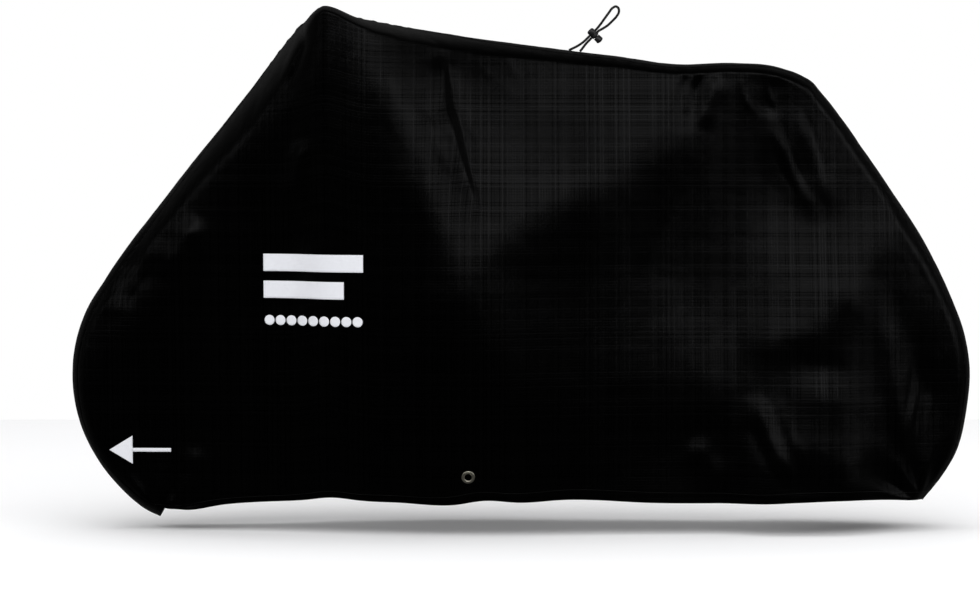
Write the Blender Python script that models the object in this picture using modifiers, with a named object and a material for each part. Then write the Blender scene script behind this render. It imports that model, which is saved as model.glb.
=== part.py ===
"""Fitted bicycle cover of light ripstop cloth, in the shape in which it hangs when it is in use.

Two side panels are sewn to one long centre strip, which runs from the front hem over the nose, the
peak, the top and the tail to the rear hem. The bottom is open, and elastic in the hem gathers both
of its corners. Each side panel has an eyelet near the hem, and a shock cord with a cord lock stands
up from the top of the centre strip.

Metres. +X points from the nose to the tail, +Y to the right-hand side and +Z up. The origin is under
the peak of the centre strip, where the cover is held up. Heights in the tables are above the ground,
and ORIGIN_HEIGHT takes them to the origin.
"""

import math
from collections import namedtuple

import bmesh
import bpy
import numpy as np
from mathutils import Vector

# ---------------------------------------------------------------- driving dimensions
CLOTH = 0.0016  # thickness of the cloth
PEAK_HEIGHT = 1.084  # outer face of the strip, above the ground
ORIGIN_HEIGHT = PEAK_HEIGHT - CLOTH
GAP = 0.0003  # left between pieces that touch
SEAM_GAP = 0.0006  # left between the edges of two panels at a seam
STRIP_HALF = 0.055  # half of the centre strip's width, as it lies

PANEL_COLUMNS = 50
PANEL_ROWS = 27
STRIP_COLUMNS = 4

SHOULDER_X = 0.008  # the shoulders stand up on both sides of the peak
SHOULDER_LIFT = 0.020
SHOULDER_REACH = 0.055

EYELET_X, EYELET_HEIGHT = 0.301, 0.124
EYELET_HOLE = 0.0075
EYELET_BARREL = 0.0086
EYELET_FLANGE = 0.0140
EYELET_RIM = 0.0012  # thickness of a flange at its middle
EYELET_FLAT, EYELET_FREE = 0.062, 0.105  # the panel is flat inside the first radius
EYELET_SIDES = 24

CORD_DIAMETER = 0.0032
CORD_SPACING = 0.0058  # of its two strands, in the lock
LOCK_X, LOCK_HEIGHT, LOCK_Y = 0.564, 1.0415, 0.004
STRAND_HOLE = 0.0021
LOCK_TURN = math.radians(45)  # the strands' slope through the lock
LOCK_RADIUS = 0.0080
LOCK_LENGTH = 0.0210
LOCK_BORE = 0.0045
BUTTON_RADIUS = 0.0074
BUTTON_LENGTH = 0.0120
BUTTON_STEM = 0.0060
BUTTON_TRAVEL = 0.0030  # left open between the button and the barrel

# ---------------------------------------------------------------- the outline, from the side
Point = namedtuple("Point", "x height")
# The crest of the centre strip, from the front hem to the rear hem.
FRONT_EDGE = [
    Point(-0.352, 0.023),
    Point(-0.386, 0.040),
    Point(-0.433, 0.081),
    Point(-0.500, 0.173),
    Point(-0.532, 0.270),
    Point(-0.534, 0.362),
    Point(-0.506, 0.460),
    Point(-0.462, 0.532),
    Point(-0.327, 0.713),
    Point(-0.158, 0.924),
    Point(-0.080, 1.026),
    Point(-0.045, 1.064),
    Point(-0.020, 1.079),
]
TOP_EDGE = [
    Point(-0.020, 1.079),
    Point(0.000, PEAK_HEIGHT),
    Point(0.030, 1.081),
    Point(0.074, 1.073),
    Point(0.137, 1.061),
    Point(0.243, 1.044),
    Point(0.496, 1.009),
    Point(0.622, 0.994),
    Point(0.730, 0.979),
    Point(0.860, 0.981),
    Point(0.939, 0.975),
    Point(1.002, 0.954),
    Point(1.024, 0.941),
]
REAR_EDGE = [
    Point(1.024, 0.941),
    Point(1.040, 0.922),
    Point(1.066, 0.891),
    Point(1.129, 0.804),
    Point(1.192, 0.713),
    Point(1.256, 0.614),
    Point(1.312, 0.504),
    Point(1.350, 0.403),
    Point(1.360, 0.325),
    Point(1.352, 0.245),
    Point(1.332, 0.163),
    Point(1.297, 0.104),
    Point(1.260, 0.059),
]
WHOLE_EDGE = FRONT_EDGE + TOP_EDGE[1:] + REAR_EDGE[1:]
# The hem of a side panel between its corners, from the front to the rear.
HEM = [
    Point(-0.300, 0.043),
    Point(-0.200, 0.057),
    Point(-0.090, 0.065),
    Point(0.150, 0.068),
    Point(0.270, 0.064),
    Point(0.335, 0.073),
    Point(0.410, 0.069),
    Point(0.500, 0.074),
    Point(0.690, 0.066),
    Point(0.870, 0.065),
    Point(0.990, 0.070),
    Point(1.090, 0.073),
    Point(1.190, 0.068),
]

# ---------------------------------------------------------------- how wide the cover stands
Section = namedtuple("Section", "x crest high upper middle lower hem roll")
# Where each of the six widths lies, as a share of the height from the crest down to the hem.
LEVELS_DOWN = (0.0, 0.12, 0.30, 0.50, 0.80, 1.0)
# Half-widths from the middle plane, from the nose to the tail. roll is the depth in which the cloth
# turns over from the side to the crest.
SECTIONS = [
    Section(-0.536, 0.064, 0.064, 0.064, 0.064, 0.064, 0.062, 0.036),
    Section(-0.470, 0.064, 0.080, 0.094, 0.086, 0.068, 0.062, 0.040),
    Section(-0.400, 0.068, 0.094, 0.108, 0.092, 0.070, 0.062, 0.045),
    Section(-0.200, 0.140, 0.150, 0.148, 0.130, 0.100, 0.085, 0.070),
    Section(-0.060, 0.184, 0.222, 0.212, 0.180, 0.140, 0.115, 0.040),
    Section(0.010, 0.287, 0.290, 0.276, 0.243, 0.190, 0.145, 0.026),
    Section(0.060, 0.284, 0.290, 0.283, 0.258, 0.208, 0.155, 0.026),
    Section(0.130, 0.232, 0.275, 0.286, 0.270, 0.222, 0.165, 0.030),
    Section(0.200, 0.162, 0.228, 0.276, 0.278, 0.235, 0.178, 0.034),
    Section(0.290, 0.112, 0.170, 0.216, 0.270, 0.243, 0.185, 0.036),
    Section(0.400, 0.088, 0.136, 0.196, 0.222, 0.226, 0.185, 0.034),
    Section(0.550, 0.078, 0.114, 0.163, 0.171, 0.182, 0.168, 0.030),
    Section(0.700, 0.072, 0.096, 0.108, 0.120, 0.160, 0.160, 0.026),
    Section(0.860, 0.078, 0.084, 0.092, 0.112, 0.152, 0.146, 0.024),
    Section(0.960, 0.088, 0.090, 0.095, 0.138, 0.163, 0.150, 0.026),
    Section(1.060, 0.078, 0.090, 0.110, 0.148, 0.160, 0.146, 0.032),
    Section(1.200, 0.070, 0.080, 0.094, 0.100, 0.114, 0.104, 0.036),
    Section(1.362, 0.064, 0.064, 0.064, 0.064, 0.064, 0.062, 0.036),
]

# ---------------------------------------------------------------- the main folds
Fold = namedtuple("Fold", "x0 h0 x1 h1 width rise")
# A soft ridge, or with a negative rise a trough, from one place on a side panel to another.
SHARED_FOLDS = [
    Fold(0.095, 1.045, 0.285, 0.545, 0.070, 0.006),  # falls from the shoulder
    Fold(0.290, 0.550, 0.320, 0.250, 0.120, 0.006),
    Fold(0.300, 0.560, 0.770, 0.850, 0.180, 0.014),
]
LEFT_FOLDS = [
    Fold(0.250, 0.985, 0.330, 0.650, 0.038, -0.013),
    Fold(-0.045, 1.060, -0.070, 0.935, 0.040, 0.008),
    Fold(-0.040, 0.800, -0.066, 0.690, 0.040, 0.016),
    Fold(-0.270, 0.650, -0.320, 0.540, 0.045, 0.015),
    Fold(-0.350, 0.610, -0.480, 0.450, 0.050, 0.006),
    Fold(0.776, 0.948, 0.749, 0.845, 0.040, -0.007),
    Fold(0.820, 0.945, 0.790, 0.850, 0.040, 0.007),
    Fold(0.935, 0.945, 0.930, 0.870, 0.040, -0.006),
    Fold(0.940, 0.840, 1.020, 0.660, 0.045, 0.009),
    Fold(0.990, 0.870, 1.055, 0.680, 0.040, 0.008),
    Fold(1.060, 0.440, 1.210, 0.665, 0.110, 0.013),
    Fold(0.880, 0.390, 1.070, 0.435, 0.110, 0.011),
    Fold(0.690, 0.510, 0.860, 0.170, 0.070, 0.008),
    Fold(1.035, 0.330, 1.000, 0.120, 0.130, 0.016),
    Fold(0.955, 0.080, 1.060, 0.090, 0.170, 0.050),
    Fold(0.900, 0.280, 0.950, 0.115, 0.045, 0.010),
    Fold(0.768, 0.190, 0.831, 0.100, 0.060, 0.009),
    Fold(1.160, 0.480, 1.225, 0.120, 0.060, 0.010),
    Fold(1.270, 0.340, 1.240, 0.130, 0.045, -0.008),
    Fold(-0.265, 0.170, -0.300, 0.080, 0.045, 0.007),
    Fold(-0.060, 0.360, -0.080, 0.060, 0.080, 0.006),
]
RIGHT_FOLDS = [
    Fold(0.300, 0.960, 0.400, 0.640, 0.060, -0.009),
    Fold(-0.050, 1.050, -0.090, 0.900, 0.045, 0.009),
    Fold(-0.200, 0.730, -0.290, 0.540, 0.055, 0.008),
    Fold(-0.380, 0.590, -0.480, 0.420, 0.050, 0.006),
    Fold(0.560, 0.930, 0.600, 0.700, 0.060, -0.008),
    Fold(0.800, 0.945, 0.770, 0.850, 0.040, 0.007),
    Fold(0.950, 0.860, 1.035, 0.650, 0.050, 0.010),
    Fold(0.900, 0.420, 1.180, 0.660, 0.150, 0.014),
    Fold(1.000, 0.360, 0.950, 0.060, 0.120, 0.020),
    Fold(0.600, 0.420, 0.760, 0.110, 0.080, 0.009),
    Fold(1.140, 0.460, 1.215, 0.120, 0.060, 0.010),
    Fold(-0.230, 0.200, -0.270, 0.070, 0.050, 0.008),
    Fold(0.030, 0.340, -0.010, 0.070, 0.080, 0.007),
]
# The elastic in the hem draws the cloth into pleats that fan out from its corners.
Gather = namedtuple("Gather", "x height reach rise pleats")
GATHERS = [
    Gather(-0.352, 0.023, 0.150, 0.006, 9),
    Gather(1.250, 0.060, 0.190, 0.007, 9),
]

# ---------------------------------------------------------------- the shock cord's route
RoutePoint = namedtuple("RoutePoint", "x y height")
# From one end on the strip, through the lock, round the loop and back to the other end.
CORD_ROUTE = [
    RoutePoint(0.5127, 0.013, 1.0078),
    RoutePoint(0.5180, 0.012, 1.0104),
    RoutePoint(0.5300, 0.008, 1.0163),
    RoutePoint(0.5430, 0.005, 1.0252),
    RoutePoint(0.5535, 0.004, 1.0351),
    RoutePoint(0.5591, 0.004, 1.0407),
    RoutePoint(0.5648, 0.004, 1.0464),
    RoutePoint(0.5704, 0.004, 1.0520),
    RoutePoint(0.5850, 0.005, 1.0690),
    RoutePoint(0.5985, 0.007, 1.0870),
    RoutePoint(0.6085, 0.008, 1.0990),
    RoutePoint(0.6150, 0.008, 1.0998),
    RoutePoint(0.6182, 0.008, 1.0935),
    RoutePoint(0.6170, 0.008, 1.0825),
    RoutePoint(0.6098, 0.007, 1.0710),
    RoutePoint(0.5975, 0.006, 1.0610),
    RoutePoint(0.5840, 0.004, 1.0550),
    RoutePoint(0.5745, 0.004, 1.0479),
    RoutePoint(0.5689, 0.004, 1.0423),
    RoutePoint(0.5632, 0.004, 1.0366),
    RoutePoint(0.5576, 0.004, 1.0310),
    RoutePoint(0.5480, 0.003, 1.0210),
    RoutePoint(0.5400, 0.001, 1.0105),
    RoutePoint(0.5359, -0.001, 1.0054),
]
CORD_STEPS = 64


# ---------------------------------------------------------------- curves and tables
def through(keys, values, at):
    """Values between the rows of a table, on a smooth curve through every row."""
    keys = np.asarray(keys, float)
    values = np.asarray(values, float)
    at = np.clip(at, keys[0], keys[-1])
    slopes = np.gradient(values, keys, axis=0)
    i = np.clip(np.searchsorted(keys, at, side="right") - 1, 0, len(keys) - 2)
    span = keys[i + 1] - keys[i]
    t = (at - keys[i]) / span
    if values.ndim > 1:
        t, span = t[:, None], span[:, None]
    return (
        values[i] * (1 + 2 * t) * (1 - t) ** 2
        + slopes[i] * span * t * (1 - t) ** 2
        + values[i + 1] * t**2 * (3 - 2 * t)
        + slopes[i + 1] * span * t**2 * (t - 1)
    )


def lengths_along(points):
    steps = np.linalg.norm(np.diff(np.array(points), axis=0), axis=1)
    return np.concatenate([[0], np.cumsum(steps)])


def drawn(points, shares):
    """Places at shares of the way along a smooth line through the points."""
    along = lengths_along(points)
    return through(along, points, np.asarray(shares) * along[-1])


def fade(value, start, end):
    """0 before start, 1 past end and smooth between them."""
    t = np.clip((value - start) / (end - start), 0, 1)
    return t * t * (3 - 2 * t)


def finer_at_ends(count, both):
    """Shares from 0 to 1 in steps that are small near 0, and near 1 too if both."""
    k = np.arange(count)
    from_end = np.minimum(k, count - 1 - k) if both else k
    steps = np.minimum(0.12 * 1.6**from_end, 1)
    return np.concatenate([[0], np.cumsum(steps)]) / steps.sum()


COLUMN_SHARES = finer_at_ends(PANEL_COLUMNS, both=True)
ROW_SHARES = finer_at_ends(PANEL_ROWS, both=False)
CREST = drawn(WHOLE_EDGE, np.linspace(0, 1, 800))
LOWEST = drawn([FRONT_EDGE[0], *HEM, REAR_EDGE[-1]], np.linspace(0, 1, 200))


# ---------------------------------------------------------------- the shape of the cloth
def crest_line(edge, shares):
    """Points on the crest, and the unit directions from them into the cover, as x and height."""
    along = lengths_along(WHOLE_EDGE)
    first = along[WHOLE_EDGE.index(edge[0])]
    last = along[WHOLE_EDGE.index(edge[-1])]
    place = (first + np.asarray(shares) * (last - first)) / along[-1]
    near = 0.002
    ahead = drawn(WHOLE_EDGE, np.clip(place + near, 0, 1))
    behind = drawn(WHOLE_EDGE, np.clip(place - near, 0, 1))
    tangent = (ahead - behind) / np.linalg.norm(ahead - behind, axis=1, keepdims=True)
    return drawn(WHOLE_EDGE, place), np.stack([tangent[:, 1], -tangent[:, 0]], axis=1)


def top_height(x):
    """Height of the crest over a place, or level with its end beyond the widest stretch."""
    upper = CREST[CREST[:, 1] > 0.325]
    upper = upper[np.argsort(upper[:, 0])]
    return np.interp(x, upper[:, 0], upper[:, 1])


def wall_half_width(x, height):
    """How far the cloth stands from the middle plane, before it turns over to the crest."""
    rows = np.array(SECTIONS)
    widths = through(rows[:, 0], rows[:, 1:7], x)
    low = np.interp(x, LOWEST[:, 0], LOWEST[:, 1])
    top = top_height(x)
    down = np.clip((top - height) / np.maximum(top - low, 0.05), 0, 1)
    return np.array([through(LEVELS_DOWN, w, np.array([d]))[0] for w, d in zip(widths, down)])


def roll_depth(x):
    rows = np.array(SECTIONS)
    return through(rows[:, 0], rows[:, 7], x)


def depth_at(half_width, wall, roll):
    """How far inside the crest the cloth lies at a half-width."""
    share = np.clip(np.abs(half_width) / wall, 0, 0.97)
    return roll * (1 - np.sqrt(1 - share**2))


def plain_half_width(x, height):
    """Half-width without folds, and how far inside the crest each place lies."""
    away = np.hypot(x[:, None] - CREST[None, :, 0], height[:, None] - CREST[None, :, 1])
    nearest = away.argmin(axis=1)
    inside = away[np.arange(len(x)), nearest]
    share = np.clip(inside / roll_depth(CREST[nearest, 0]), 0, 1)
    return wall_half_width(x, height) * np.sqrt(1 - (1 - share) ** 2), inside


def fold_height(folds, x, height):
    total = np.zeros(len(x))
    for fold in folds:
        run_x, run_h = fold.x1 - fold.x0, fold.h1 - fold.h0
        length = math.hypot(run_x, run_h)
        along = ((x - fold.x0) * run_x + (height - fold.h0) * run_h) / length**2
        across = ((x - fold.x0) * run_h - (height - fold.h0) * run_x) / length
        ends = fade(along, -0.15, 0.25) * (1 - fade(along, 0.7, 1.15))
        total += fold.rise * ends / np.cosh(across / (0.5 * fold.width)) ** 2
    return total


def gather_height(side, x, height):
    total = np.zeros(len(x))
    for gather in GATHERS:
        away = np.hypot(x - gather.x, height - gather.height)
        turn = np.arctan2(height - gather.height, x - gather.x)
        wave = np.cos(gather.pleats * turn + 0.9 * side)
        total += gather.rise * wave * fade(away, 0.01, 0.06) * (1 - fade(away, 0.06, gather.reach))
    return total


def eyelet_plane():
    """Half-width at the eyelet, and the panel's slopes there along x and height."""
    step = 0.03
    x = EYELET_X + step * np.array([0, 1, -1, 0, 0])
    height = EYELET_HEIGHT + step * np.array([0, 0, 0, 1, -1])
    half, _ = plain_half_width(x, height)
    return half[0], (half[1] - half[2]) / (2 * step), (half[3] - half[4]) / (2 * step)


EYELET_HALF, EYELET_SLOPE_X, EYELET_SLOPE_H = eyelet_plane()


def panel_half_width(side, x, height):
    """Half-width of the left panel, side -1, or of the right one, side 1, with its folds."""
    half, inside = plain_half_width(x, height)
    folds = SHARED_FOLDS + (LEFT_FOLDS if side < 0 else RIGHT_FOLDS)
    loose = fold_height(folds, x, height) + gather_height(side, x, height)
    half = half + loose * fade(inside, 0.006, 0.04)
    dx, dh = x - EYELET_X, height - EYELET_HEIGHT
    flat = EYELET_HALF + EYELET_SLOPE_X * dx + EYELET_SLOPE_H * dh
    free = fade(np.hypot(dx, dh), EYELET_FLAT, EYELET_FREE)
    return free * half + (1 - free) * flat


def shoulder_lift(x, y):
    """The shoulders rise beside the peak."""
    near = np.exp(-(((x - SHOULDER_X) / SHOULDER_REACH) ** 2))
    return SHOULDER_LIFT * near * fade(np.abs(y), 0.07, 0.25)


def seam_line(edge, shares):
    """The edge of a side panel at the centre strip, as x and height."""
    points, inward = crest_line(edge, shares)
    wall = wall_half_width(points[:, 0], points[:, 1])
    depth = depth_at(STRIP_HALF, wall, roll_depth(points[:, 0])) + SEAM_GAP
    return points + inward * depth[:, None]


def panel_places():
    """x and height of a side panel's points, in a patch between its seam and its hem."""
    left = seam_line(FRONT_EDGE, 1 - ROW_SHARES)
    right = seam_line(REAR_EDGE, ROW_SHARES)
    top = seam_line(TOP_EDGE, COLUMN_SHARES)
    bottom = drawn([left[-1], *HEM, right[-1]], COLUMN_SHARES)
    u = COLUMN_SHARES[:, None, None]
    v = ROW_SHARES[None, :, None]
    across = (1 - u) * left[None] + u * right[None]
    down = (1 - v) * top[:, None] + v * bottom[:, None]
    ends_above = (1 - u) * left[0] + u * right[0]
    ends_below = (1 - u) * left[-1] + u * right[-1]
    return across + down - (1 - v) * ends_above - v * ends_below


# ---------------------------------------------------------------- making objects
def clear_scene():
    for old in list(bpy.data.objects):
        bpy.data.objects.remove(old)


def new_collection(name):
    made = bpy.data.collections.new(name)
    bpy.context.scene.collection.children.link(made)
    return made


def material(name, colour, roughness, metallic=0.0):
    made = bpy.data.materials.new(name)
    made.use_nodes = True
    surface = made.node_tree.nodes["Principled BSDF"]
    surface.inputs["Base Color"].default_value = (*colour, 1)
    surface.inputs["Roughness"].default_value = roughness
    surface.inputs["Metallic"].default_value = metallic
    return made


def add_object(name, data, collection, finish=None):
    made = bpy.data.objects.new(name, data)
    collection.objects.link(made)
    if finish is not None:
        data.materials.append(finish)
    return made


def grid_mesh(name, places):
    """A mesh over a grid of places, whose faces point out of the cover."""
    columns, rows = places.shape[0] - 1, places.shape[1] - 1
    shape = bmesh.new()
    bmesh.ops.create_grid(shape, x_segments=columns, y_segments=rows, size=0.5)
    for vertex in shape.verts:
        column = round((vertex.co.x + 0.5) * columns)
        row = round((vertex.co.y + 0.5) * rows)
        vertex.co = places[column, row]
    mesh = bpy.data.meshes.new(name)
    shape.to_mesh(mesh)
    shape.free()
    mesh.shade_smooth()
    return mesh


def thicken(cloth):
    """The grid is the cloth's outer face, and its thickness lies inside the cover."""
    solid = cloth.modifiers.new("Thickness", "SOLIDIFY")
    solid.thickness = CLOTH
    solid.offset = -1
    solid.use_even_offset = True


def turned(name, profile, sides, collection, finish):
    """A solid turned about its local Z from radius and height pairs, outer side top to bottom."""
    mesh = bpy.data.meshes.new(name)
    shape = bmesh.new()
    corners = [shape.verts.new((radius, 0, height)) for radius, height in profile]
    loop = corners + [corners[0]] if profile[0][0] > 0 else corners
    for start, end in zip(loop, loop[1:]):
        shape.edges.new((start, end))
    shape.to_mesh(mesh)
    shape.free()
    made = add_object(name, mesh, collection, finish)
    screw = made.modifiers.new("Turned", "SCREW")
    screw.steps = screw.render_steps = sides
    screw.use_merge_vertices = True
    screw.merge_threshold = 0.00005
    screw.use_smooth_shade = True
    return made


def cut(target, cutter):
    boolean = target.modifiers.new(cutter.name, "BOOLEAN")
    boolean.operation = "DIFFERENCE"
    boolean.object = cutter


def rod_cutter(name, radius, length, sides, collection):
    bpy.ops.mesh.primitive_cylinder_add(radius=radius, depth=length, vertices=sides)
    made = bpy.context.object
    made.name = name
    for old in list(made.users_collection):
        old.objects.unlink(made)
    collection.objects.link(made)
    made.hide_render = True
    made.display_type = "WIRE"
    return made


# ---------------------------------------------------------------- the pieces
def side_panel(name, side, parts, cutters, finish):
    """The left panel, side -1, or the right one, side 1, with the hole for its eyelet."""
    flat = panel_places()
    x, height = flat[..., 0].ravel(), flat[..., 1].ravel()
    half = panel_half_width(side, x, height).reshape(flat.shape[:2])
    half[0] = half[-1] = half[:, 0] = STRIP_HALF + SEAM_GAP / 2
    lift = shoulder_lift(flat[..., 0], half)
    places = np.stack([flat[..., 0], side * half, flat[..., 1] + lift - ORIGIN_HEIGHT], axis=2)
    if side < 0:
        places = places[:, ::-1]
    panel = add_object(name, grid_mesh(name, places), parts, finish)
    thicken(panel)
    hole = rod_cutter(f"{name}_hole", EYELET_BARREL + GAP, 0.02, EYELET_SIDES, cutters)
    place_at_eyelet(hole, side)
    cut(panel, hole)
    return panel


def centre_strip(name, parts, finish):
    """The strip over the crest, whose rows meet those of the side panels."""
    stretches = [
        crest_line(FRONT_EDGE, 1 - ROW_SHARES[::-1]),
        crest_line(TOP_EDGE, COLUMN_SHARES[1:]),
        crest_line(REAR_EDGE, ROW_SHARES[1:]),
    ]
    points = np.concatenate([points for points, _ in stretches])
    inward = np.concatenate([inward for _, inward in stretches])
    y = np.linspace(-STRIP_HALF, STRIP_HALF, STRIP_COLUMNS + 1)
    wall = wall_half_width(points[:, 0], points[:, 1])
    depth = depth_at(y[None], wall[:, None], roll_depth(points[:, 0])[:, None])
    places = np.empty((len(points), len(y), 3))
    places[..., 0] = points[:, None, 0] + inward[:, None, 0] * depth
    places[..., 1] = y[None]
    places[..., 2] = points[:, None, 1] + inward[:, None, 1] * depth - ORIGIN_HEIGHT
    strip = add_object(name, grid_mesh(name, places), parts, finish)
    thicken(strip)
    return strip


def place_at_eyelet(piece, side):
    """Local Z then points out of the cover, and the cloth's outer face lies at local z = 0."""
    out = Vector((-EYELET_SLOPE_X, side, -EYELET_SLOPE_H)).normalized()
    piece.location = (EYELET_X, side * EYELET_HALF, EYELET_HEIGHT - ORIGIN_HEIGHT)
    piece.rotation_mode = "QUATERNION"
    piece.rotation_quaternion = out.to_track_quat("Z", "Y")


def eyelet(name, side, parts, finish):
    """A rolled eyelet: a flange on each face of the cloth and a barrel through it."""
    front, back = GAP, -CLOTH - GAP
    rim, bead = EYELET_RIM, 0.35 * EYELET_RIM
    middle = (EYELET_BARREL + EYELET_FLANGE) / 2
    profile = [
        (EYELET_HOLE + bead, front + rim + bead),
        (middle, front + rim),
        (EYELET_FLANGE - bead, front + bead),
        (EYELET_FLANGE, front),
        (EYELET_BARREL, front),
        (EYELET_BARREL, back),
        (EYELET_FLANGE - 2 * bead, back),
        (EYELET_FLANGE - 3 * bead, back - bead),
        (middle, back - rim),
        (EYELET_HOLE + bead, back - rim),
        (EYELET_HOLE, back),
        (EYELET_HOLE, front + bead),
    ]
    ring = turned(name, profile, EYELET_SIDES, parts, finish)
    place_at_eyelet(ring, side)
    return ring


def shock_cord(name, parts, finish):
    route = [(p.x, p.y, p.height - ORIGIN_HEIGHT) for p in CORD_ROUTE]
    points = drawn(route, np.linspace(0, 1, CORD_STEPS))
    curve = bpy.data.curves.new(name, "CURVE")
    curve.dimensions = "3D"
    curve.bevel_depth = CORD_DIAMETER / 2
    curve.bevel_resolution = 2
    curve.use_fill_caps = True
    spline = curve.splines.new("POLY")
    spline.points.add(len(points) - 1)
    for point, place in zip(spline.points, points):
        point.co = (*place, 1)
    return add_object(name, curve, parts, finish)


def place_at_lock(piece, along=0.0):
    """Local Z then runs along the lock, down towards the tail, and the strands cross it."""
    axis = Vector((math.sin(LOCK_TURN), 0, -math.cos(LOCK_TURN)))
    centre = Vector((LOCK_X, LOCK_Y, LOCK_HEIGHT - ORIGIN_HEIGHT))
    piece.location = centre + along * axis
    piece.rotation_mode = "QUATERNION"
    piece.rotation_quaternion = axis.to_track_quat("Z", "Y")


def cord_lock(parts, cutters, finish):
    """A barrel that both strands pass through, and its sprung button."""
    r, length = LOCK_RADIUS, LOCK_LENGTH
    top, bottom = 0.45 * length, -0.55 * length
    barrel = [
        (0, top - 0.0040),
        (LOCK_BORE, top - 0.0040),
        (LOCK_BORE, top),
        (0.80 * r, top),
        (r, top - 0.20 * r),
        (r, bottom + 0.55 * r),
        (0.86 * r, bottom + 0.22 * r),
        (0.50 * r, bottom),
        (0, bottom),
    ]
    body = turned("cord_lock_barrel", barrel, 20, parts, finish)
    place_at_lock(body)
    for index, offset in enumerate((-CORD_SPACING / 2, CORD_SPACING / 2)):
        hole = rod_cutter(f"strand_hole_{index}", STRAND_HOLE, 4 * r, 16, cutters)
        place_at_lock(hole, offset)
        along = Vector((math.cos(LOCK_TURN), 0, math.sin(LOCK_TURN)))
        hole.rotation_quaternion = along.to_track_quat("Z", "Y")
        cut(body, hole)
    b = BUTTON_RADIUS
    foot = top + BUTTON_TRAVEL
    crown = foot + BUTTON_LENGTH - BUTTON_TRAVEL
    button = [
        (0, crown),
        (0.55 * b, crown - 0.06 * b),
        (0.88 * b, crown - 0.32 * b),
        (b, crown - 0.70 * b),
        (0.90 * b, foot),
        (LOCK_BORE - GAP, foot),
        (LOCK_BORE - GAP, top - 0.0040 + GAP),
        (0, top - 0.0040 + GAP),
    ]
    cap = turned("cord_lock_button", button, 20, parts, finish)
    place_at_lock(cap)
    return body, cap


def main():
    clear_scene()
    parts = new_collection("Bicycle cover")
    cutters = new_collection("Cutters")
    cloth = material("Black ripstop cloth", (0.012, 0.012, 0.013), 0.55)
    brass = material("Aged brass", (0.42, 0.33, 0.20), 0.38, metallic=1.0)
    elastic = material("Black braided cord", (0.015, 0.015, 0.016), 0.70)
    plastic = material("Black moulded plastic", (0.018, 0.018, 0.020), 0.42)
    for hand, side in (("left", -1), ("right", 1)):
        side_panel(f"{hand}_side_panel", side, parts, cutters, cloth)
        eyelet(f"{hand}_eyelet", side, parts, brass)
    centre_strip("centre_strip", parts, cloth)
    shock_cord("shock_cord", parts, elastic)
    cord_lock(parts, cutters, plastic)


main()
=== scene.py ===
"""The looks of a fitted bicycle cover: creased ripstop cloth, seams, eyelets, shock cord and prints.

Metres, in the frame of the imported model: +X points from the nose of the cover to its tail and +Z up.
Heights in the tables are above the ground, and ORIGIN_HEIGHT takes them to the frame's origin.
"""

import math
from collections import namedtuple

import bmesh
import bpy
import numpy as np
from bpy.props import FloatProperty, FloatVectorProperty, IntProperty, PointerProperty
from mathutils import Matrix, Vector, noise
from mathutils.bvhtree import BVHTree


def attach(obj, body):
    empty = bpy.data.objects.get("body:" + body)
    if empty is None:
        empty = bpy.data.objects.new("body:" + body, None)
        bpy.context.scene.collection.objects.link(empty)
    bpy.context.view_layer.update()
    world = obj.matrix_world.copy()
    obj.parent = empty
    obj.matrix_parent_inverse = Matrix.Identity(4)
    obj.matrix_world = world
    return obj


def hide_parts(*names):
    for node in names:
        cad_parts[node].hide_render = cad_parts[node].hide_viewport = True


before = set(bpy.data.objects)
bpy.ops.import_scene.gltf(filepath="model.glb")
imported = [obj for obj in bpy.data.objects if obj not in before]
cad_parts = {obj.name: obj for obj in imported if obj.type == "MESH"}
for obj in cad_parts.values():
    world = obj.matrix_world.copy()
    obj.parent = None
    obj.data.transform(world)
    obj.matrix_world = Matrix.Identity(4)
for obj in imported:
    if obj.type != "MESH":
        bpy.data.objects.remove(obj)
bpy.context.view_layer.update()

bl_info = {
    "name": "Bicycle Cover",
    "version": (1, 0, 0),
    "blender": (4, 5, 0),
    "location": "View3D > Sidebar > Cover",
    "description": "Makes a fitted cover of creased ripstop cloth with its seams, eyelets and shock cord",
    "category": "Add Mesh",
}

# ---- sizes shared with the solids
PEAK_HEIGHT = 1.084
CLOTH = 0.0016
ORIGIN_HEIGHT = PEAK_HEIGHT - CLOTH
SEAM_GAP = 0.0006
STRIP_HALF = 0.055
PANEL_COLUMNS, PANEL_ROWS = 50, 27  # cells of the solid panel, whose spacing the fine grid follows
FIRST_STEP, STEP_GROWTH = 0.12, 1.6  # its first cell at a seam as a share of a full one, and its growth
SHOULDER_X, SHOULDER_LIFT, SHOULDER_REACH = 0.008, 0.020, 0.055  # where, how high and how wide
EYELET_X, EYELET_HEIGHT = 0.301, 0.124
EYELET_FLAT, EYELET_FREE = 0.020, 0.050  # the cloth lies flat up to the first, and free past the second

Point = namedtuple("Point", "x height")


def table(kind, *rows):
    """The rows of a table as named tuples."""
    return [kind(*row) for row in rows]


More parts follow.
